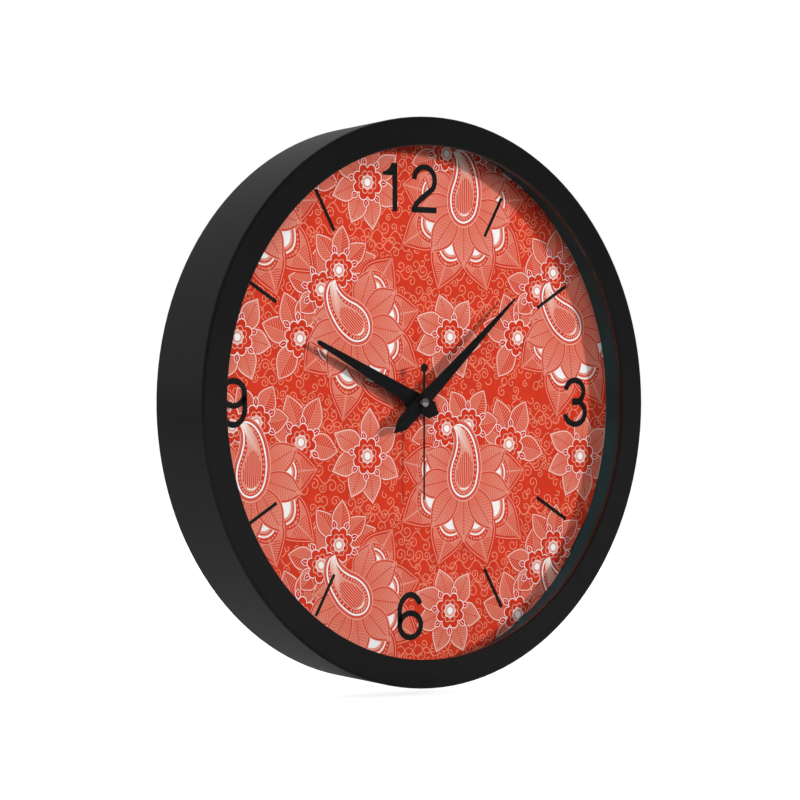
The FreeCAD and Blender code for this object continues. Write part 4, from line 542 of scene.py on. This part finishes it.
def print_ink(name):
    """The mesh piece of one ink, with planar texture coordinates for its bake."""
    build = bmesh.new()
    tone_layer = build.verts.layers.float.new("shade")
    side_layer = build.verts.layers.float_vector.new("side")
    faces = []
    for points, level, tones in fills[name]:
        corners = []
        for p, tone in zip(points, tones):
            corners.append(build.verts.new((p.real, SHEET_FRONT - level * LEVEL, p.imag)))
            corners[-1][tone_layer] = tone
        faces.append(build.faces.new(corners))
    lines = []
    for points, width, level, closed, tone in strokes[name]:
        chain = []
        for p, side in zip(points, normals(points, closed)):
            half = side * width / 2
            near = p - half
            corner = build.verts.new((near.real, SHEET_FRONT - level * LEVEL, near.imag))
            corner[tone_layer] = tone
            corner[side_layer] = (2 * half.real, 0.0, 2 * half.imag)
            chain.append(corner)
        lines += [build.edges.new(pair) for pair in zip(chain, chain[1:])]
        if closed:
            lines.append(build.edges.new((chain[-1], chain[0])))
    build.normal_update()
    if faces:
        bmesh.ops.triangulate(build, faces=faces, ngon_method="EAR_CLIP")
    if lines:
        widened = bmesh.ops.extrude_edge_only(build, edges=lines)["geom"]
        for corner in widened:
            if isinstance(corner, bmesh.types.BMVert):
                corner.co += corner[side_layer]
    bmesh.ops.scale(build, vec=(MM, MM, MM), verts=build.verts)
    build.normal_update()
    slivers = [f for f in build.faces if f.calc_area() < SLIVER]
    bmesh.ops.delete(build, geom=slivers, context="FACES")
    turned = [f for f in build.faces if f.normal.y > 0]
    bmesh.ops.reverse_faces(build, faces=turned)
    chart = build.loops.layers.uv.new("OFBake")
    for face in build.faces:
        for loop in face.loops:
            place = loop.vert.co / CHART_SPAN
            loop[chart].uv = (0.5 + place.x, 0.5 + place.z)
    piece = show("dial_ink_" + name, build, ink_finishes[name])
    piece.data.attributes.remove(piece.data.attributes["side"])
    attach(piece, "case")
    print(piece.name, len(piece.data.polygons), "faces")


# %% [markdown]
# ## Curves the motifs share
#
# A petal is a midrib that may bend, with a half-width that swells and comes to a point. A shape
# is set inside itself by moving each point inwards, less and less near its tip, so that nested
# outlines meet in the tip as they do in drawn paisley. A negative distance sets it outside. A
# closed curve through a few points uses the Catmull-Rom formula.

# %% Curve helpers
def turn(degrees, length=1.0):
    """The vector of a length at an angle."""
    return cmath.rect(length, math.radians(degrees))


def arc(centre, rx, rz, start, end, count=14):
    """Points on an elliptical arc from one angle to another."""
    sweep = [math.radians(start + (end - start) * i / count) for i in range(count + 1)]
    return [centre + complex(rx * math.cos(a), rz * math.sin(a)) for a in sweep]


def ring(centre, radius, count):
    """Points round a circle."""
    return arc(centre, radius, radius, 0, 360 - 360 / count, count - 1)


def smooth_loop(knots, steps=5):
    """A closed Catmull-Rom curve through the knots."""
    count = len(knots)
    points = []
    for i in range(count):
        a, b, c, d = (knots[(i + k) % count] for k in (-1, 0, 1, 2))
        for s in range(steps):
            u = s / steps
            points.append(0.5 * (2 * b + (c - a) * u + (2 * a - 5 * b + 4 * c - d) * u ** 2
                                 + (3 * b - a - 3 * c + d) * u ** 3))
    return points


def inset(points, distance, tip):
    """A closed shape moved inwards by a distance, tapering to nothing at its tip."""
    area = sum((p.conjugate() * q).imag for p, q in zip(points, points[1:] + points[:1]))
    inward = 1 if area > 0 else -1
    moved = []
    for p, side in zip(points, normals(points, True)):
        give = distance * min(1.0, abs(p - tip) / (3.2 * abs(distance) + 1e-6))
        moved.append(p + side * inward * give)
    return moved


class Petal:
    """A petal: a bent midrib from its base to its tip, and a half-width along it."""

    def __init__(self, base, degrees, length, width, bend=0.0, belly=0.5, ogee=1.1):
        self.base, self.axis, self.length = base, turn(degrees), length
        self.width, self.bend, self.belly, self.ogee = width, bend, belly, ogee
        self.power = math.log(0.5) / math.log(belly)
        self.tip = self.rib(1.0)

    def rib(self, t):
        """The midrib at t, from 0 at the base to 1 at the tip."""
        return self.base + self.axis * self.length * complex(t, self.bend * t * t)

    def half(self, t):
        """The half-width at t."""
        swell = math.sin(math.pi * t ** self.power)
        sharp = self.ogee if t > self.belly else 0.7
        return self.width / 2 * max(0.0, swell) ** sharp

    def edge(self, t, side):
        """A point at t, side times the half-width away from the midrib."""
        return self.rib(t) + self.axis * 1j * self.half(t) * side

    def outline(self, count=15):
        """The closed outline, from base along one side to the tip and back."""
        up = [self.edge(i / count, 1) for i in range(count)]
        down = [self.edge(i / count, -1) for i in range(count, 0, -1)]
        return up + [self.tip] + down[1:]

    def veins(self, ink_name, level, sides=(1, -1), count=9, first=0.15, last=0.8, lean=0.16,
              width=0.28, inner=0.06, outer=0.86, tone=0.2):
        """Straight hatching from the midrib out to the edge."""
        for i in range(count):
            t = first + (last - first) * i / max(1, count - 1)
            for side in sides:
                line = [self.edge(t, side * inner), self.edge(min(0.97, t + lean), side * outer)]
                stroke(ink_name, line, width, level, tone=tone)

    def midrib(self, ink_name, level, width=0.45, start=0.08, end=0.86):
        """The line down the middle."""
        line = [self.rib(start + (end - start) * i / 8) for i in range(9)]
        stroke(ink_name, line, width, level, tone=0.6)

    def bow(self, t, sag, reach=0.92, count=10):
        """A line across the petal at t that bulges towards the tip."""
        line = []
        for i in range(count + 1):
            side = -1 + 2 * i / count
            there = t + sag * (1 - side * side)
            line.append(self.edge(there, side * reach * self.half(t) / max(self.half(there), 0.1)))
        return line


print("petal and curve helpers ready")

# %% [markdown]
# ## Scrolling tendrils
#
# The ground between the motifs is filled with thin scrolls. Each vine is a line whose heading
# swings from side to side. Wherever there is room a curl leaves it and winds up tighter and
# tighter, and pairs of loose curls fill the gaps between the vines. A set of small cells notes the
# ground that is taken. All of it lies lowest, so flowers simply cover it. A seeded generator makes
# the small irregularities, and the same ones every time.

# %% Tendrils
VINE_LEVEL = 1
VINE_WIDTH = 0.5
VINE_GAP = 9.2
VINE_SWING, VINE_WAVE, VINE_STEP = 1.0, 16.0, 1.0
VINE_START, VINE_LOWEST, VINE_CUT, FILLER_REACH = 146, -144, 143, 141
CURL_STEP = 0.55
CURL_TIGHTENING = 0.72
CELL = 1.3
FILLER_TRIES = 2600
taken = set()
tendril_chance = random.Random(12)


def cells_of(points):
    """The cells of ground that some points lie in."""
    return {(round(p.real / CELL), round(p.imag / CELL)) for p in points}


def curl(start, heading, hand, radius, winds):
    """A spiral that leaves a point along a heading and winds inwards, if its ground is free."""
    points = [start]
    total = winds * 2 * math.pi
    turned = 0.0
    while turned < total:
        now = radius * (1.0 - CURL_TIGHTENING * turned / total)
        heading += hand * CURL_STEP / now
        turned += CURL_STEP / now
        points.append(points[-1] + cmath.rect(CURL_STEP, heading))
    cells = cells_of(points[4:])
    if cells & taken:
        return
    taken.update(cells)
    height = VINE_LEVEL + 0.25 * (1 + len(taken) % 4)
    stroke("peach", points, VINE_WIDTH, height)
    fill("peach", ring(points[-1], VINE_WIDTH * 0.85, 6), height + 0.15)


def vine(start, lean, level):
    """One long vine from the left to the right of the dial, with a curl wherever there is room."""
    place = start
    line = [place]
    travelled = 0.0
    phase = tendril_chance.uniform(0, 2 * math.pi)
    next_curl = 2.0
    while place.real < VINE_START:
        along = 2 * math.pi * travelled / VINE_WAVE + phase
        heading = lean + VINE_SWING * math.sin(along)
        place += cmath.rect(VINE_STEP, heading)
        travelled += VINE_STEP
        line.append(place)
        if travelled > next_curl and abs(place) < VINE_CUT:
            bending = math.cos(2 * math.pi * travelled / VINE_WAVE + phase)
            radius = tendril_chance.uniform(2.2, 3.6)
            winds = tendril_chance.uniform(0.95, 1.3)
            curl(place, heading, -1 if bending > 0 else 1, radius, winds)
            next_curl = travelled + tendril_chance.uniform(1.6, 2.8)
    run = []
    for place in line + [complex(math.inf, 0)]:
        if abs(place) < VINE_CUT:
            run.append(place)
        elif len(run) > 1:
            stroke("peach", run, VINE_WIDTH, level)
            run = []


for row in range(int(2 * VINE_START / VINE_GAP)):
    lean = tendril_chance.uniform(-0.05, 0.05)
    start = complex(-VINE_START, VINE_LOWEST + row * VINE_GAP)
    vine(start, lean, VINE_LEVEL + 0.1 * (row % 2))
for points, _, _, _, _ in strokes["peach"]:
    taken |= cells_of(points)
for _ in range(FILLER_TRIES):
    away = FILLER_REACH * math.sqrt(tendril_chance.random())
    place = cmath.rect(away, tendril_chance.uniform(0, 2 * math.pi))
    heading = tendril_chance.uniform(0, 2 * math.pi)
    radius = tendril_chance.uniform(1.9, 3.2)
    curl(place, heading, 1, radius, tendril_chance.uniform(0.9, 1.2))
    curl(place, heading + math.pi, 1, radius, tendril_chance.uniform(0.5, 0.9))
print("tendril strokes:", len(strokes["peach"]))

# %% [markdown]
# ## Flower cores and buds
#
# Star flowers and the small companion flowers share one core: an eight-lobed red scallop with a
# white edge, a smaller salmon outline, and a pale eye. Small red buds peep out around it.

# %% Flower core
def scallop(centre, radius, lobes=8, turned=0.0, steps=7):
    """A closed outline of round lobes, like a daisy."""
    lobe = radius * 0.29
    inner = radius - lobe
    points = []
    for i in range(lobes * steps):
        angle = 360 * i / (lobes * steps)
        off = math.radians((angle % (360 / lobes)) - 180 / lobes)
        away = inner * math.cos(off) + math.sqrt(max(lobe ** 2 - (inner * math.sin(off)) ** 2, 0.0))
        points.append(centre + turn(angle + turned, away))
    return points


def flower_core(centre, radius, turned, level):
    """The nested scallops and the white eye."""
    outer = scallop(centre, radius, turned=turned)
    fill("deep", outer, level)
    stroke("white", outer, 0.42, level + 0.4, closed=True)
    inner = scallop(centre, radius * 0.62, turned=turned)
    stroke("salmon", inner, 0.5, level + 0.4, closed=True, tone=0.55)
    eye = scallop(centre, radius * 0.4, turned=turned + 22.5)
    fill("salmon", eye, level + 0.7, 0.72)
    stroke("white", eye, 0.3, level + 1.0, closed=True)
    stroke("deep", ring(centre, radius * 0.25, 16), 0.28, level + 1.1, closed=True)
    fill("white", ring(centre, radius * 0.19, 14), level + 1.1)


def buds(centre, inner, angles, level, length=4.6):
    """Small red pointed buds with a pale edge around a core."""
    for angle in angles:
        bud = Petal(centre + turn(angle, inner), angle, length, 3.4)
        fill("deep", bud.outline(8), level)
        stroke("white", bud.outline(8), 0.34, level + 0.3, closed=True)
        stroke("white", [bud.rib(0.3), bud.rib(0.7)], 0.26, level + 0.5)


print("flower core ready")

# %% [markdown]
# ## Star flowers
#
# Seven pointed petals, a little bent, each with a pale edge, a midrib and fine hatching in a darker
# tone. A thin margin of ground colour keeps the tendrils off the edge.

# %% Star flower
LOWER_STAR = ((79, 24.0, 0.16), (32, 23.5, 0.12), (-25, 22.5, -0.06), (-77, 24.0, -0.1),
              (-119, 23.0, 0.05), (-166, 23.5, 0.1), (144, 24.0, 0.16))
UPPER_STAR = ((103, 22.5, 0.12), (51, 22.5, 0.12), (-9, 21.0, -0.06), (-62, 22.5, -0.1),
              (-116, 22.5, 0.05), (-167, 23.0, 0.1), (149, 24.5, 0.14))
STAR_LEVEL, STAR_STEP = 3.17, 1.31


def star_flower(centre, petals):
    """A seven-petalled star with its core."""
    for i, (angle, length, bend) in enumerate(petals):
        level = STAR_LEVEL + STAR_STEP * i
        petal = Petal(centre + turn(angle, 5), angle, length - 4, 12.6, bend, belly=0.48, ogee=1.15)
        shape = petal.outline()
        fill("field", inset(shape, -0.9, petal.base), level - 0.6)
        fill("salmon", shape, level, lambda p, q=petal: 0.22 + 0.26 * abs(p - q.base) / q.length)
        petal.veins("salmon", level + 0.3, count=11, lean=0.1, width=0.36, tone=0.0)
        petal.midrib("deep", level + 0.5, 0.4)
        stroke("salmon", shape, 0.52, level + 0.6, closed=True, tone=0.82)
    buds(centre, 8.6, [angle + 24 for angle, _, _ in petals], 14)
    flower_core(centre, 9.9, 0, 15)


print("star flower ready")

# %% [markdown]
# ## Leaves and companion flowers
#
# Each paisley is accompanied by smaller flowers. Their leaves are salmon with a pale edge. One half
# of each is hatched heavily in red from midrib to edge, the other lightly in dark salmon.

# %% Companion flower
LEAF_STEP = 1.1


def leaf(base, angle, length, width, bend, level, shaded_side):
    """A leaf, hatched heavily on one side and lightly on the other."""
    blade = Petal(base, angle, length, width, bend, belly=0.48, ogee=1.0)
    shape = blade.outline(13)
    fill("field", inset(shape, -0.9, blade.base), level - 0.4)
    fill("salmon", shape, level, 0.34)
    blade.veins("deep", level + 0.3, sides=(shaded_side,), count=10, lean=0.12, width=0.7)
    blade.veins("salmon", level + 0.3, sides=(-shaded_side,), count=11, lean=0.14, width=0.34,
                tone=0.0)
    blade.midrib("deep", level + 0.45, 0.6)
    blade.midrib("salmon", level + 0.5, 0.28)
    stroke("salmon", shape, 0.48, level + 0.6, closed=True, tone=0.82)


def leaves(centre, away, width, level, blades, shaded_side):
    """A few leaves round a point, each over the one before it."""
    for i, (angle, length, bend) in enumerate(blades):
        base = centre + turn(angle, away)
        leaf(base, angle, length, width, bend, level + LEAF_STEP * i, shaded_side)


def companion(centre, turned, level, radius, bud_angles):
    """A small flower core with buds."""
    buds(centre, radius - 1.2, bud_angles, level - 0.7, 5.2)
    flower_core(centre, radius, turned, level)


print("leaf and companion flower ready")

# %% [markdown]
# ## The paisley
#
# The drop is a closed curve through a few points. Its bands are insets of the same curve: a salmon
# border, a white line, a red band with salmon beads, another thin line, and a body that fades from
# white at the tip to salmon at the belly, with long hatching and a white crescent at the bottom.

# %% Paisley
DROP = [complex(*knot) for knot in (
    (-7.9, 28.6), (-3.2, 30.4), (2.0, 28.4), (6.0, 24.2), (8.9, 18.4), (10.8, 11.0), (11.3, 3.6),
    (9.4, -5.2), (5.4, -10.3), (-0.3, -12.4), (-6.0, -10.4), (-9.6, -5.2), (-10.6, 1.2),
    (-9.5, 7.0), (-7.2, 12.6), (-5.7, 18.4), (-6.0, 24.2))]
DROP_TIP = DROP[0]
DROP_LENGTH = 41.0


def paisley(centre, turned, level, size, mirrored):
    """One paisley drop, its belly at the centre and its tip up before it is mirrored and turned."""
    way = turn(turned, size)

    def placed(points):
        return [centre + (-p.conjugate() if mirrored else p) * way for p in points]

    def inside(distance):
        return placed(inset(smooth_loop(DROP), distance, DROP_TIP))

    tip = placed([DROP_TIP])[0]

    def fade(p):
        return max(0.46, 1.05 - 1.75 * abs(p - tip) / (DROP_LENGTH * size))

    fill("salmon", inside(-1.9), level, 0.42)
    stroke("salmon", inside(-1.9), 0.35, level + 0.2, closed=True, tone=0.7)
    stroke("deep", inside(-1.15), 0.45, level + 0.35, closed=True)
    fill("deep", inside(-0.65), level + 0.5)
    fill("white", inside(0.2), level + 0.8)
    fill("deep", inside(1.35), level + 1.1)
    fill("salmon", inside(3.9), level + 1.4, fade)
    stroke("salmon", inside(3.9), 0.35, level + 1.7, closed=True, tone=0.6)
    for bead in [p for p in inside(2.6)[::2] if abs(p - tip) > 8]:
        fill("salmon", ring(bead, 0.66, 8), level + 1.4, 0.5)
    for i in range(9):
        x = -5.4 + i * 1.4
        low = -6.4 + 0.11 * x * x
        high = 14.0 - 0.24 * (x - 1.0) ** 2
        line = [complex(x, low), complex(x + 0.4, (low + high) / 2), complex(x + 0.3, high)]
        stroke("deep", placed(line), 0.66, level + 1.85 + 0.05 * (i % 2))
    fill("white", placed(arc(0, 6.0, 7.7, -118, -55) + arc(0.5j, 5.8, 7.5, -57, -116)), level + 2.2)


print("paisley ready")

# %% [markdown]
# ## Petals round a paisley
#
# A paisley lies on two rings of petals. The back ring is the richer one: a double edge, a hatched
# tip, a row of beads, arcs of white and salmon, and a bright crescent where the petal disappears
# under the front ring. The front ring is plain salmon with a red edge and fine lines.

# %% Petal rings
FRONT_START, FRONT_WIDTH = 6, 15.6
BACK_START, BACK_WIDTH = 10, 24.0


def front_petal(centre, angle, reach, level):
    """A broad plain petal with a red edge."""
    petal = Petal(centre + turn(angle, FRONT_START), angle, reach - FRONT_START, FRONT_WIDTH,
                  belly=0.52, ogee=0.9)
    shape = petal.outline()
    fill("salmon", inset(shape, -0.45, petal.base), level, 0.5)
    fill("deep", shape, level + 0.3)
    fill("salmon", inset(shape, 0.75, petal.tip), level + 0.6,
         lambda p, q=petal: 0.26 + 0.2 * abs(p - q.base) / q.length)
    petal.veins("deep", level + 0.9, count=13, first=0.12, last=0.84, lean=0.08, width=0.2,
                outer=0.84)
    petal.midrib("deep", level + 1.1, 0.45)


def back_petal(centre, angle, reach, level):
    """An ornate petal that shows only its outer half."""
    petal = Petal(centre + turn(angle, BACK_START), angle, reach - BACK_START, BACK_WIDTH,
                  ogee=1.15)
    shape = petal.outline(18)
    fill("field", inset(shape, -1.0, petal.base), level - 0.8)
    fill("salmon", shape, level - 0.5, 0.5)
    fill("deep", inset(shape, 0.45, petal.tip), level - 0.2)
    fill("salmon", inset(shape, 1.5, petal.tip), level + 0.1, 0.36)
    petal.veins("deep", level + 0.4, count=9, first=0.66, last=0.9, lean=0.035, width=0.42,
                inner=0.08, outer=0.74)
    petal.midrib("salmon", level + 0.6, 0.3, start=0.6, end=0.92)
    band_low, band_high = petal.bow(0.42, 0.17, 0.84), petal.bow(0.5, 0.17, 0.84)
    fill("deep", band_low + band_high[::-1], level + 0.5)
    for bead in petal.bow(0.46, 0.17, 0.76, 11):
        fill("salmon", ring(bead, 0.72, 8), level + 0.8, 0.4)
    stroke("salmon", band_high, 0.4, level + 0.8, tone=0.5)
    cuff = petal.bow(0.2, 0.22, 0.9) + petal.bow(0.4, 0.17, 0.86)[::-1]
    fill("salmon", cuff, level + 0.7, 0.5)
    stroke("white", petal.bow(0.4, 0.17, 0.84), 0.75, level + 0.9)
    stroke("deep", petal.bow(0.365, 0.17, 0.82), 0.7, level + 0.9)
    crescent = petal.bow(0.33, 0.16, 0.78) + petal.bow(0.08, 0.12, 0.8)[::-1]
    fill("white", crescent, level + 1.1)


print("petal rings ready")

# %% [markdown]
# ## The two clusters
#
# One cluster stands upright, the other leans to the left. Both are drawn from back to front:
# leaves, two rings of petals, three companion flowers, and the paisley in their midst. A petal has
# an angle and a reach. A flower has its place from the belly of the paisley, its tufts of leaves
# (distance, width, level, the blades and the side that is hatched heavily) and its core (turn,
# level, radius and the angles of its buds).

# %% Clusters
BACK_LEVEL, BACK_STEP = 10.8, 1.9
FRONT_LEVEL, FRONT_STEP = 22.4, 1.2
PAISLEY_LEVEL = 34.2
UPRIGHT = {
    "back": ((169, 43.5), (-151, 49), (4, 43.5), (-40, 54), (-111, 50.5), (-70.5, 50)),
    "front": ((153, 30), (26, 33), (-90, 35), (-16, 34), (-170, 33), (-55, 35), (-130, 35)),
    "flowers": (
        (complex(32.3, 17.0),
         ((5, 13.5, 3.4, ((150, 18, -0.1), (107, 20.8, 0.06)), -1),
          (5, 13.5, 5.6, ((59, 20.8, 0.08), (-8, 19.6, -0.08)), 1)),
         (10, 9.6, 10.0, (84, 28, -34, 130))),
        (complex(3.4, 27.2),
         ((4, 12.5, 6.1, ((128, 17.5, -0.1), (2, 17.0, 0.1), (56, 17.5, 0.08)), -1),),
         (0, 31.2, 9.5, (92, 27, -25))),
        (complex(-12.0, 25.6),
         ((4, 12, 3.9, ((110, 17, 0.1), (155, 17, 0.1), (199, 20.5, -0.1)), 1),),
         (12, 32.8, 9.4, (95, 140, 185, 228)))),
    "paisley": {"turned": 0, "size": 0.93, "mirrored": False}}
TILTED = {
    "back": ((-144, 42), (54, 43.5), (10, 44.6), (-99, 52), (-28, 48.7), (-60, 51.5)),
    "front": ((69, 30), (175, 28), (-84, 33), (32, 33), (-163, 32), (-8, 33), (-122, 33),
              (-45, 33)),
    "flowers": (
        (complex(-36.2, -8.2),
         ((5, 13.5, 3.4, ((163, 20.5, 0.0), (118, 20.5, -0.1)), -1),
          (5, 13.5, 5.6, ((74, 18.5, 0.1), (-128, 20, 0.1)), 1)),
         (10, 9.6, 10.0, (140, 96, -70, 195))),
        (complex(-10.7, 27.6),
         ((4, 11.5, 5.0, ((124, 19.5, 0.1), (18, 22, 0.0), (43, 19, -0.1), (84, 19.5, 0.0)), -1),),
         (0, 31.2, 9.5, (106, 62, 20, -20))),
        (complex(-22.5, 17.4),
         ((4, 12, 3.9, ((101, 17, -0.05), (161, 18, 0.05), (222, 14, 0.0)), 1),),
         (12, 32.8, 9.4, (120, 170, 212)))),
    "paisley": {"turned": 45.7, "size": 0.88, "mirrored": True}}


def cluster(centre, plan):
    """A paisley with its petals and companion flowers, from back to front."""
    for offset, tufts, _ in plan["flowers"]:
        for tuft in tufts:
            leaves(centre + offset, *tuft)
    for i, (angle, reach) in enumerate(plan["back"]):
        back_petal(centre, angle, reach, BACK_LEVEL + BACK_STEP * i)
    for i, (angle, reach) in enumerate(plan["front"]):
        front_petal(centre, angle, reach, FRONT_LEVEL + FRONT_STEP * i)
    for offset, _, core in plan["flowers"]:
        companion(centre + offset, *core)
    paisley(centre, level=PAISLEY_LEVEL, **plan["paisley"])


print("clusters ready")

# %% [markdown]
# ## Repeat the pattern over the dial
#
# The print is a wallpaper: the same four motifs repeat on a grid, which the sheet stretches a
# little to the right and spreads in height there. Each motif has its place in the grid and the
# radius that it fills, so that only the repeats that reach the round sheet are drawn.

# %% Repeat the pattern
REPEAT_X, REPEAT_Z = 145.4, 143.4
SHIFT_X, STRETCH_X, GROWTH_X = -3.0, 1.0024, 0.000337
STRETCH_Z, GROWTH_Z = 1.008, 0.000339
MOTIFS = ((complex(-26.4, -28.0), 30, lambda c: star_flower(c, LOWER_STAR)),
          (complex(30.0, 34.4), 30, lambda c: star_flower(c, UPPER_STAR)),
          (complex(39.3, -38.6), 60, lambda c: cluster(c, UPRIGHT)),
          (complex(-35.0, 41.4), 60, lambda c: cluster(c, TILTED)))
drawn = 0


def laid(p):
    """Where a place of the regular grid lies on the stretched sheet."""
    across = SHIFT_X + STRETCH_X * p.real + GROWTH_X * p.real ** 2
    return complex(across, p.imag * (STRETCH_Z + GROWTH_Z * p.real))


for offset, extent, draw in MOTIFS:
    for column in (-1, 0, 1):
        for line in (-1, 0, 1):
            centre = laid(offset + complex(column * REPEAT_X, line * REPEAT_Z))
            if abs(centre) - extent < PRINT_RADIUS:
                draw(centre)
                drawn += 1
print("motifs drawn:", drawn)

# %% [markdown]
# ## Numerals and hour ticks
#
# The dial has four numerals of a light, round sans form, drawn with one pen width: 12, 3, 6 and
# 9. The nine is the six turned by half a circle. Eight plain ticks mark the other hours.

# %% Numerals and ticks
PEN = 3.1
NUMERAL_LEVEL = 37.5
TICK_INNER, TICK_OUTER, TICK_WIDTH = 103.0, 127.4, 1.85


def pen(points):
    """A numeral's stroke."""
    stroke("black", points, PEN, NUMERAL_LEVEL)


def numeral_one(x):
    """A stem and a small flag."""
    pen([complex(x, 126.2), complex(x, 100.7)])
    flag = [complex(x + 0.2, 126.2), complex(x - 1.8, 126.2)]
    flag += arc(complex(x - 8.6, 128.0), 6.6, 6.6, -18, -88, 6)
    flag += [complex(x - 8.2, 119.6), complex(x + 0.2, 119.6)]
    fill("black", flag, NUMERAL_LEVEL + 0.2)


def numeral_two(x):
    """A hook, a sweeping diagonal and a foot."""
    bowl = arc(complex(x, 117.7), 7.1, 7.1, 176, -38, 20)
    pen(bowl + [complex(x - 2.2, 107.9), complex(x - 5.6, 105.2), complex(x - 7.3, 102.2)])
    stroke("black", [complex(x - 8.7, 102.1), complex(x + 8.3, 102.1)], PEN, NUMERAL_LEVEL + 0.2)


def numeral_three(x):
    """Two bowls that meet in the middle."""
    pen(arc(complex(x, 6.2), 6.5, 6.1, 172, -84, 20) + [complex(x - 1.6, 0.15)])
    lower = [complex(x - 1.6, 0.5)] + arc(complex(x + 0.3, -5.4), 7.3, 6.4, 92, -172, 22)
    stroke("black", lower, PEN, NUMERAL_LEVEL + 0.2)


def numeral_six(centre, turned=0.0):
    """A round bowl and a stem that curves over it."""
    way = turn(turned)
    bowl = arc(-4.9j, 7.2, 6.4, 0, 350, 35)
    stem = arc(2.6j, 7.3, 8.6, 24, 184, 20) + [complex(-7.2, -3.4)]
    stroke("black", [centre + p * way for p in bowl], PEN, NUMERAL_LEVEL, closed=True)
    pen([centre + p * way for p in stem])


numeral_one(-10.7)
numeral_two(9.5)
numeral_three(116.9)
numeral_six(complex(-0.2, -112.7))
numeral_six(complex(-116.9, -0.2), 180)
for hour in range(12):
    if hour % 3:
        direction = turn(90 - 30 * hour)
        stroke("black", [direction * TICK_INNER, direction * TICK_OUTER], TICK_WIDTH, NUMERAL_LEVEL)
print("numerals and ticks drawn")

# %% [markdown]
# ## Print the inks
#
# All that was drawn in one ink becomes one mesh piece, which rides on the case.

# %% Print the inks
for name in ink_finishes:
    print_ink(name)

# %% [markdown]
# ## The hands
#
# The hands are blanked from aluminium sheet and lacquered, so their edges are slightly rounded and
# catch a thin line of light. A copy of each CAD hand has its loose triangles merged into whole
# faces, and its sharp edges are bevelled by about a tenth of a millimetre.

# %% Hands
SMOOTH_SEAM = math.radians(0.5)
SHARP_CORNER = math.radians(50)


def softened(node_name, body, width):
    """A copy of a CAD part with its sharp edges bevelled, shown in its place."""
    build = bmesh.new()
    build.from_mesh(nodes[node_name].data)
    bmesh.ops.remove_doubles(build, verts=build.verts, dist=1e-6)
    bmesh.ops.dissolve_limit(build, angle_limit=SMOOTH_SEAM, verts=build.verts, edges=build.edges)
    shared = [e for e in build.edges if len(e.link_faces) == 2]
    sharp = [e for e in shared if e.calc_face_angle() > SHARP_CORNER]
    bmesh.ops.bevel(build, geom=sharp, offset=width, offset_type="OFFSET", affect="EDGES",
                    segments=2, profile=0.5, material=-1, clamp_overlap=True)
    bmesh.ops.recalc_face_normals(build, faces=build.faces)
    piece = show(node_name + "_soft", build, finishes["hand_black"])
    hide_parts(node_name)
    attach(piece, body)
    print(piece.name, len(piece.data.polygons), "faces")


softened("hour_hand", "hour_train", 0.00011)
softened("minute_hand", "minute_train", 0.00011)
softened("second_hand", "second_train", 0.00007)

# %% [markdown]
# ## The cap on the second hand
#
# The second hand is closed by a small bright cap, turned from brass and plated: a short straight
# skirt and a low dome. The CAD part has the right size with a faceted top, so a smooth one takes
# its place: a profile of a few points, spun round the hands' axis.

# %% Second hand cap
cap_low, cap_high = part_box("second_hand_cap")
CAP_RADIUS = cap_high.x
CAP_SKIRT = 0.0008
CAP_DOME = cap_high.y - cap_low.y - CAP_SKIRT
CAP_CHAMFER = CAP_RADIUS * 0.04
DOME_STEPS = 14
section = [(0.0, cap_high.y), (CAP_RADIUS - CAP_CHAMFER, cap_high.y),
           (CAP_RADIUS, cap_high.y - CAP_CHAMFER)]
for i in range(DOME_STEPS + 1):
    angle = math.radians(90 * i / DOME_STEPS)
    section.append((CAP_RADIUS * math.cos(angle),
                    cap_high.y - CAP_SKIRT - CAP_DOME * math.sin(angle)))
cap_build = bmesh.new()
profile = [cap_build.verts.new((x, y, 0.0)) for x, y in section]
outline = [cap_build.edges.new(pair) for pair in zip(profile, profile[1:])]
bmesh.ops.spin(cap_build, geom=profile + outline, cent=(0, 0, 0), axis=(0, 1, 0), angle=2 * math.pi,
               steps=72, use_merge=True)
bmesh.ops.remove_doubles(cap_build, verts=cap_build.verts, dist=1e-7)
bmesh.ops.recalc_face_normals(cap_build, faces=cap_build.faces)
for face in cap_build.faces:
    face.smooth = True
cap = show("second_hand_dome", cap_build, finishes["cap_chrome"])
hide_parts("second_hand_cap")
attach(cap, "second_train")
print("cap", round(CAP_RADIUS / MM, 2), "mm radius, dome", round(CAP_DOME / MM, 2), "mm high")
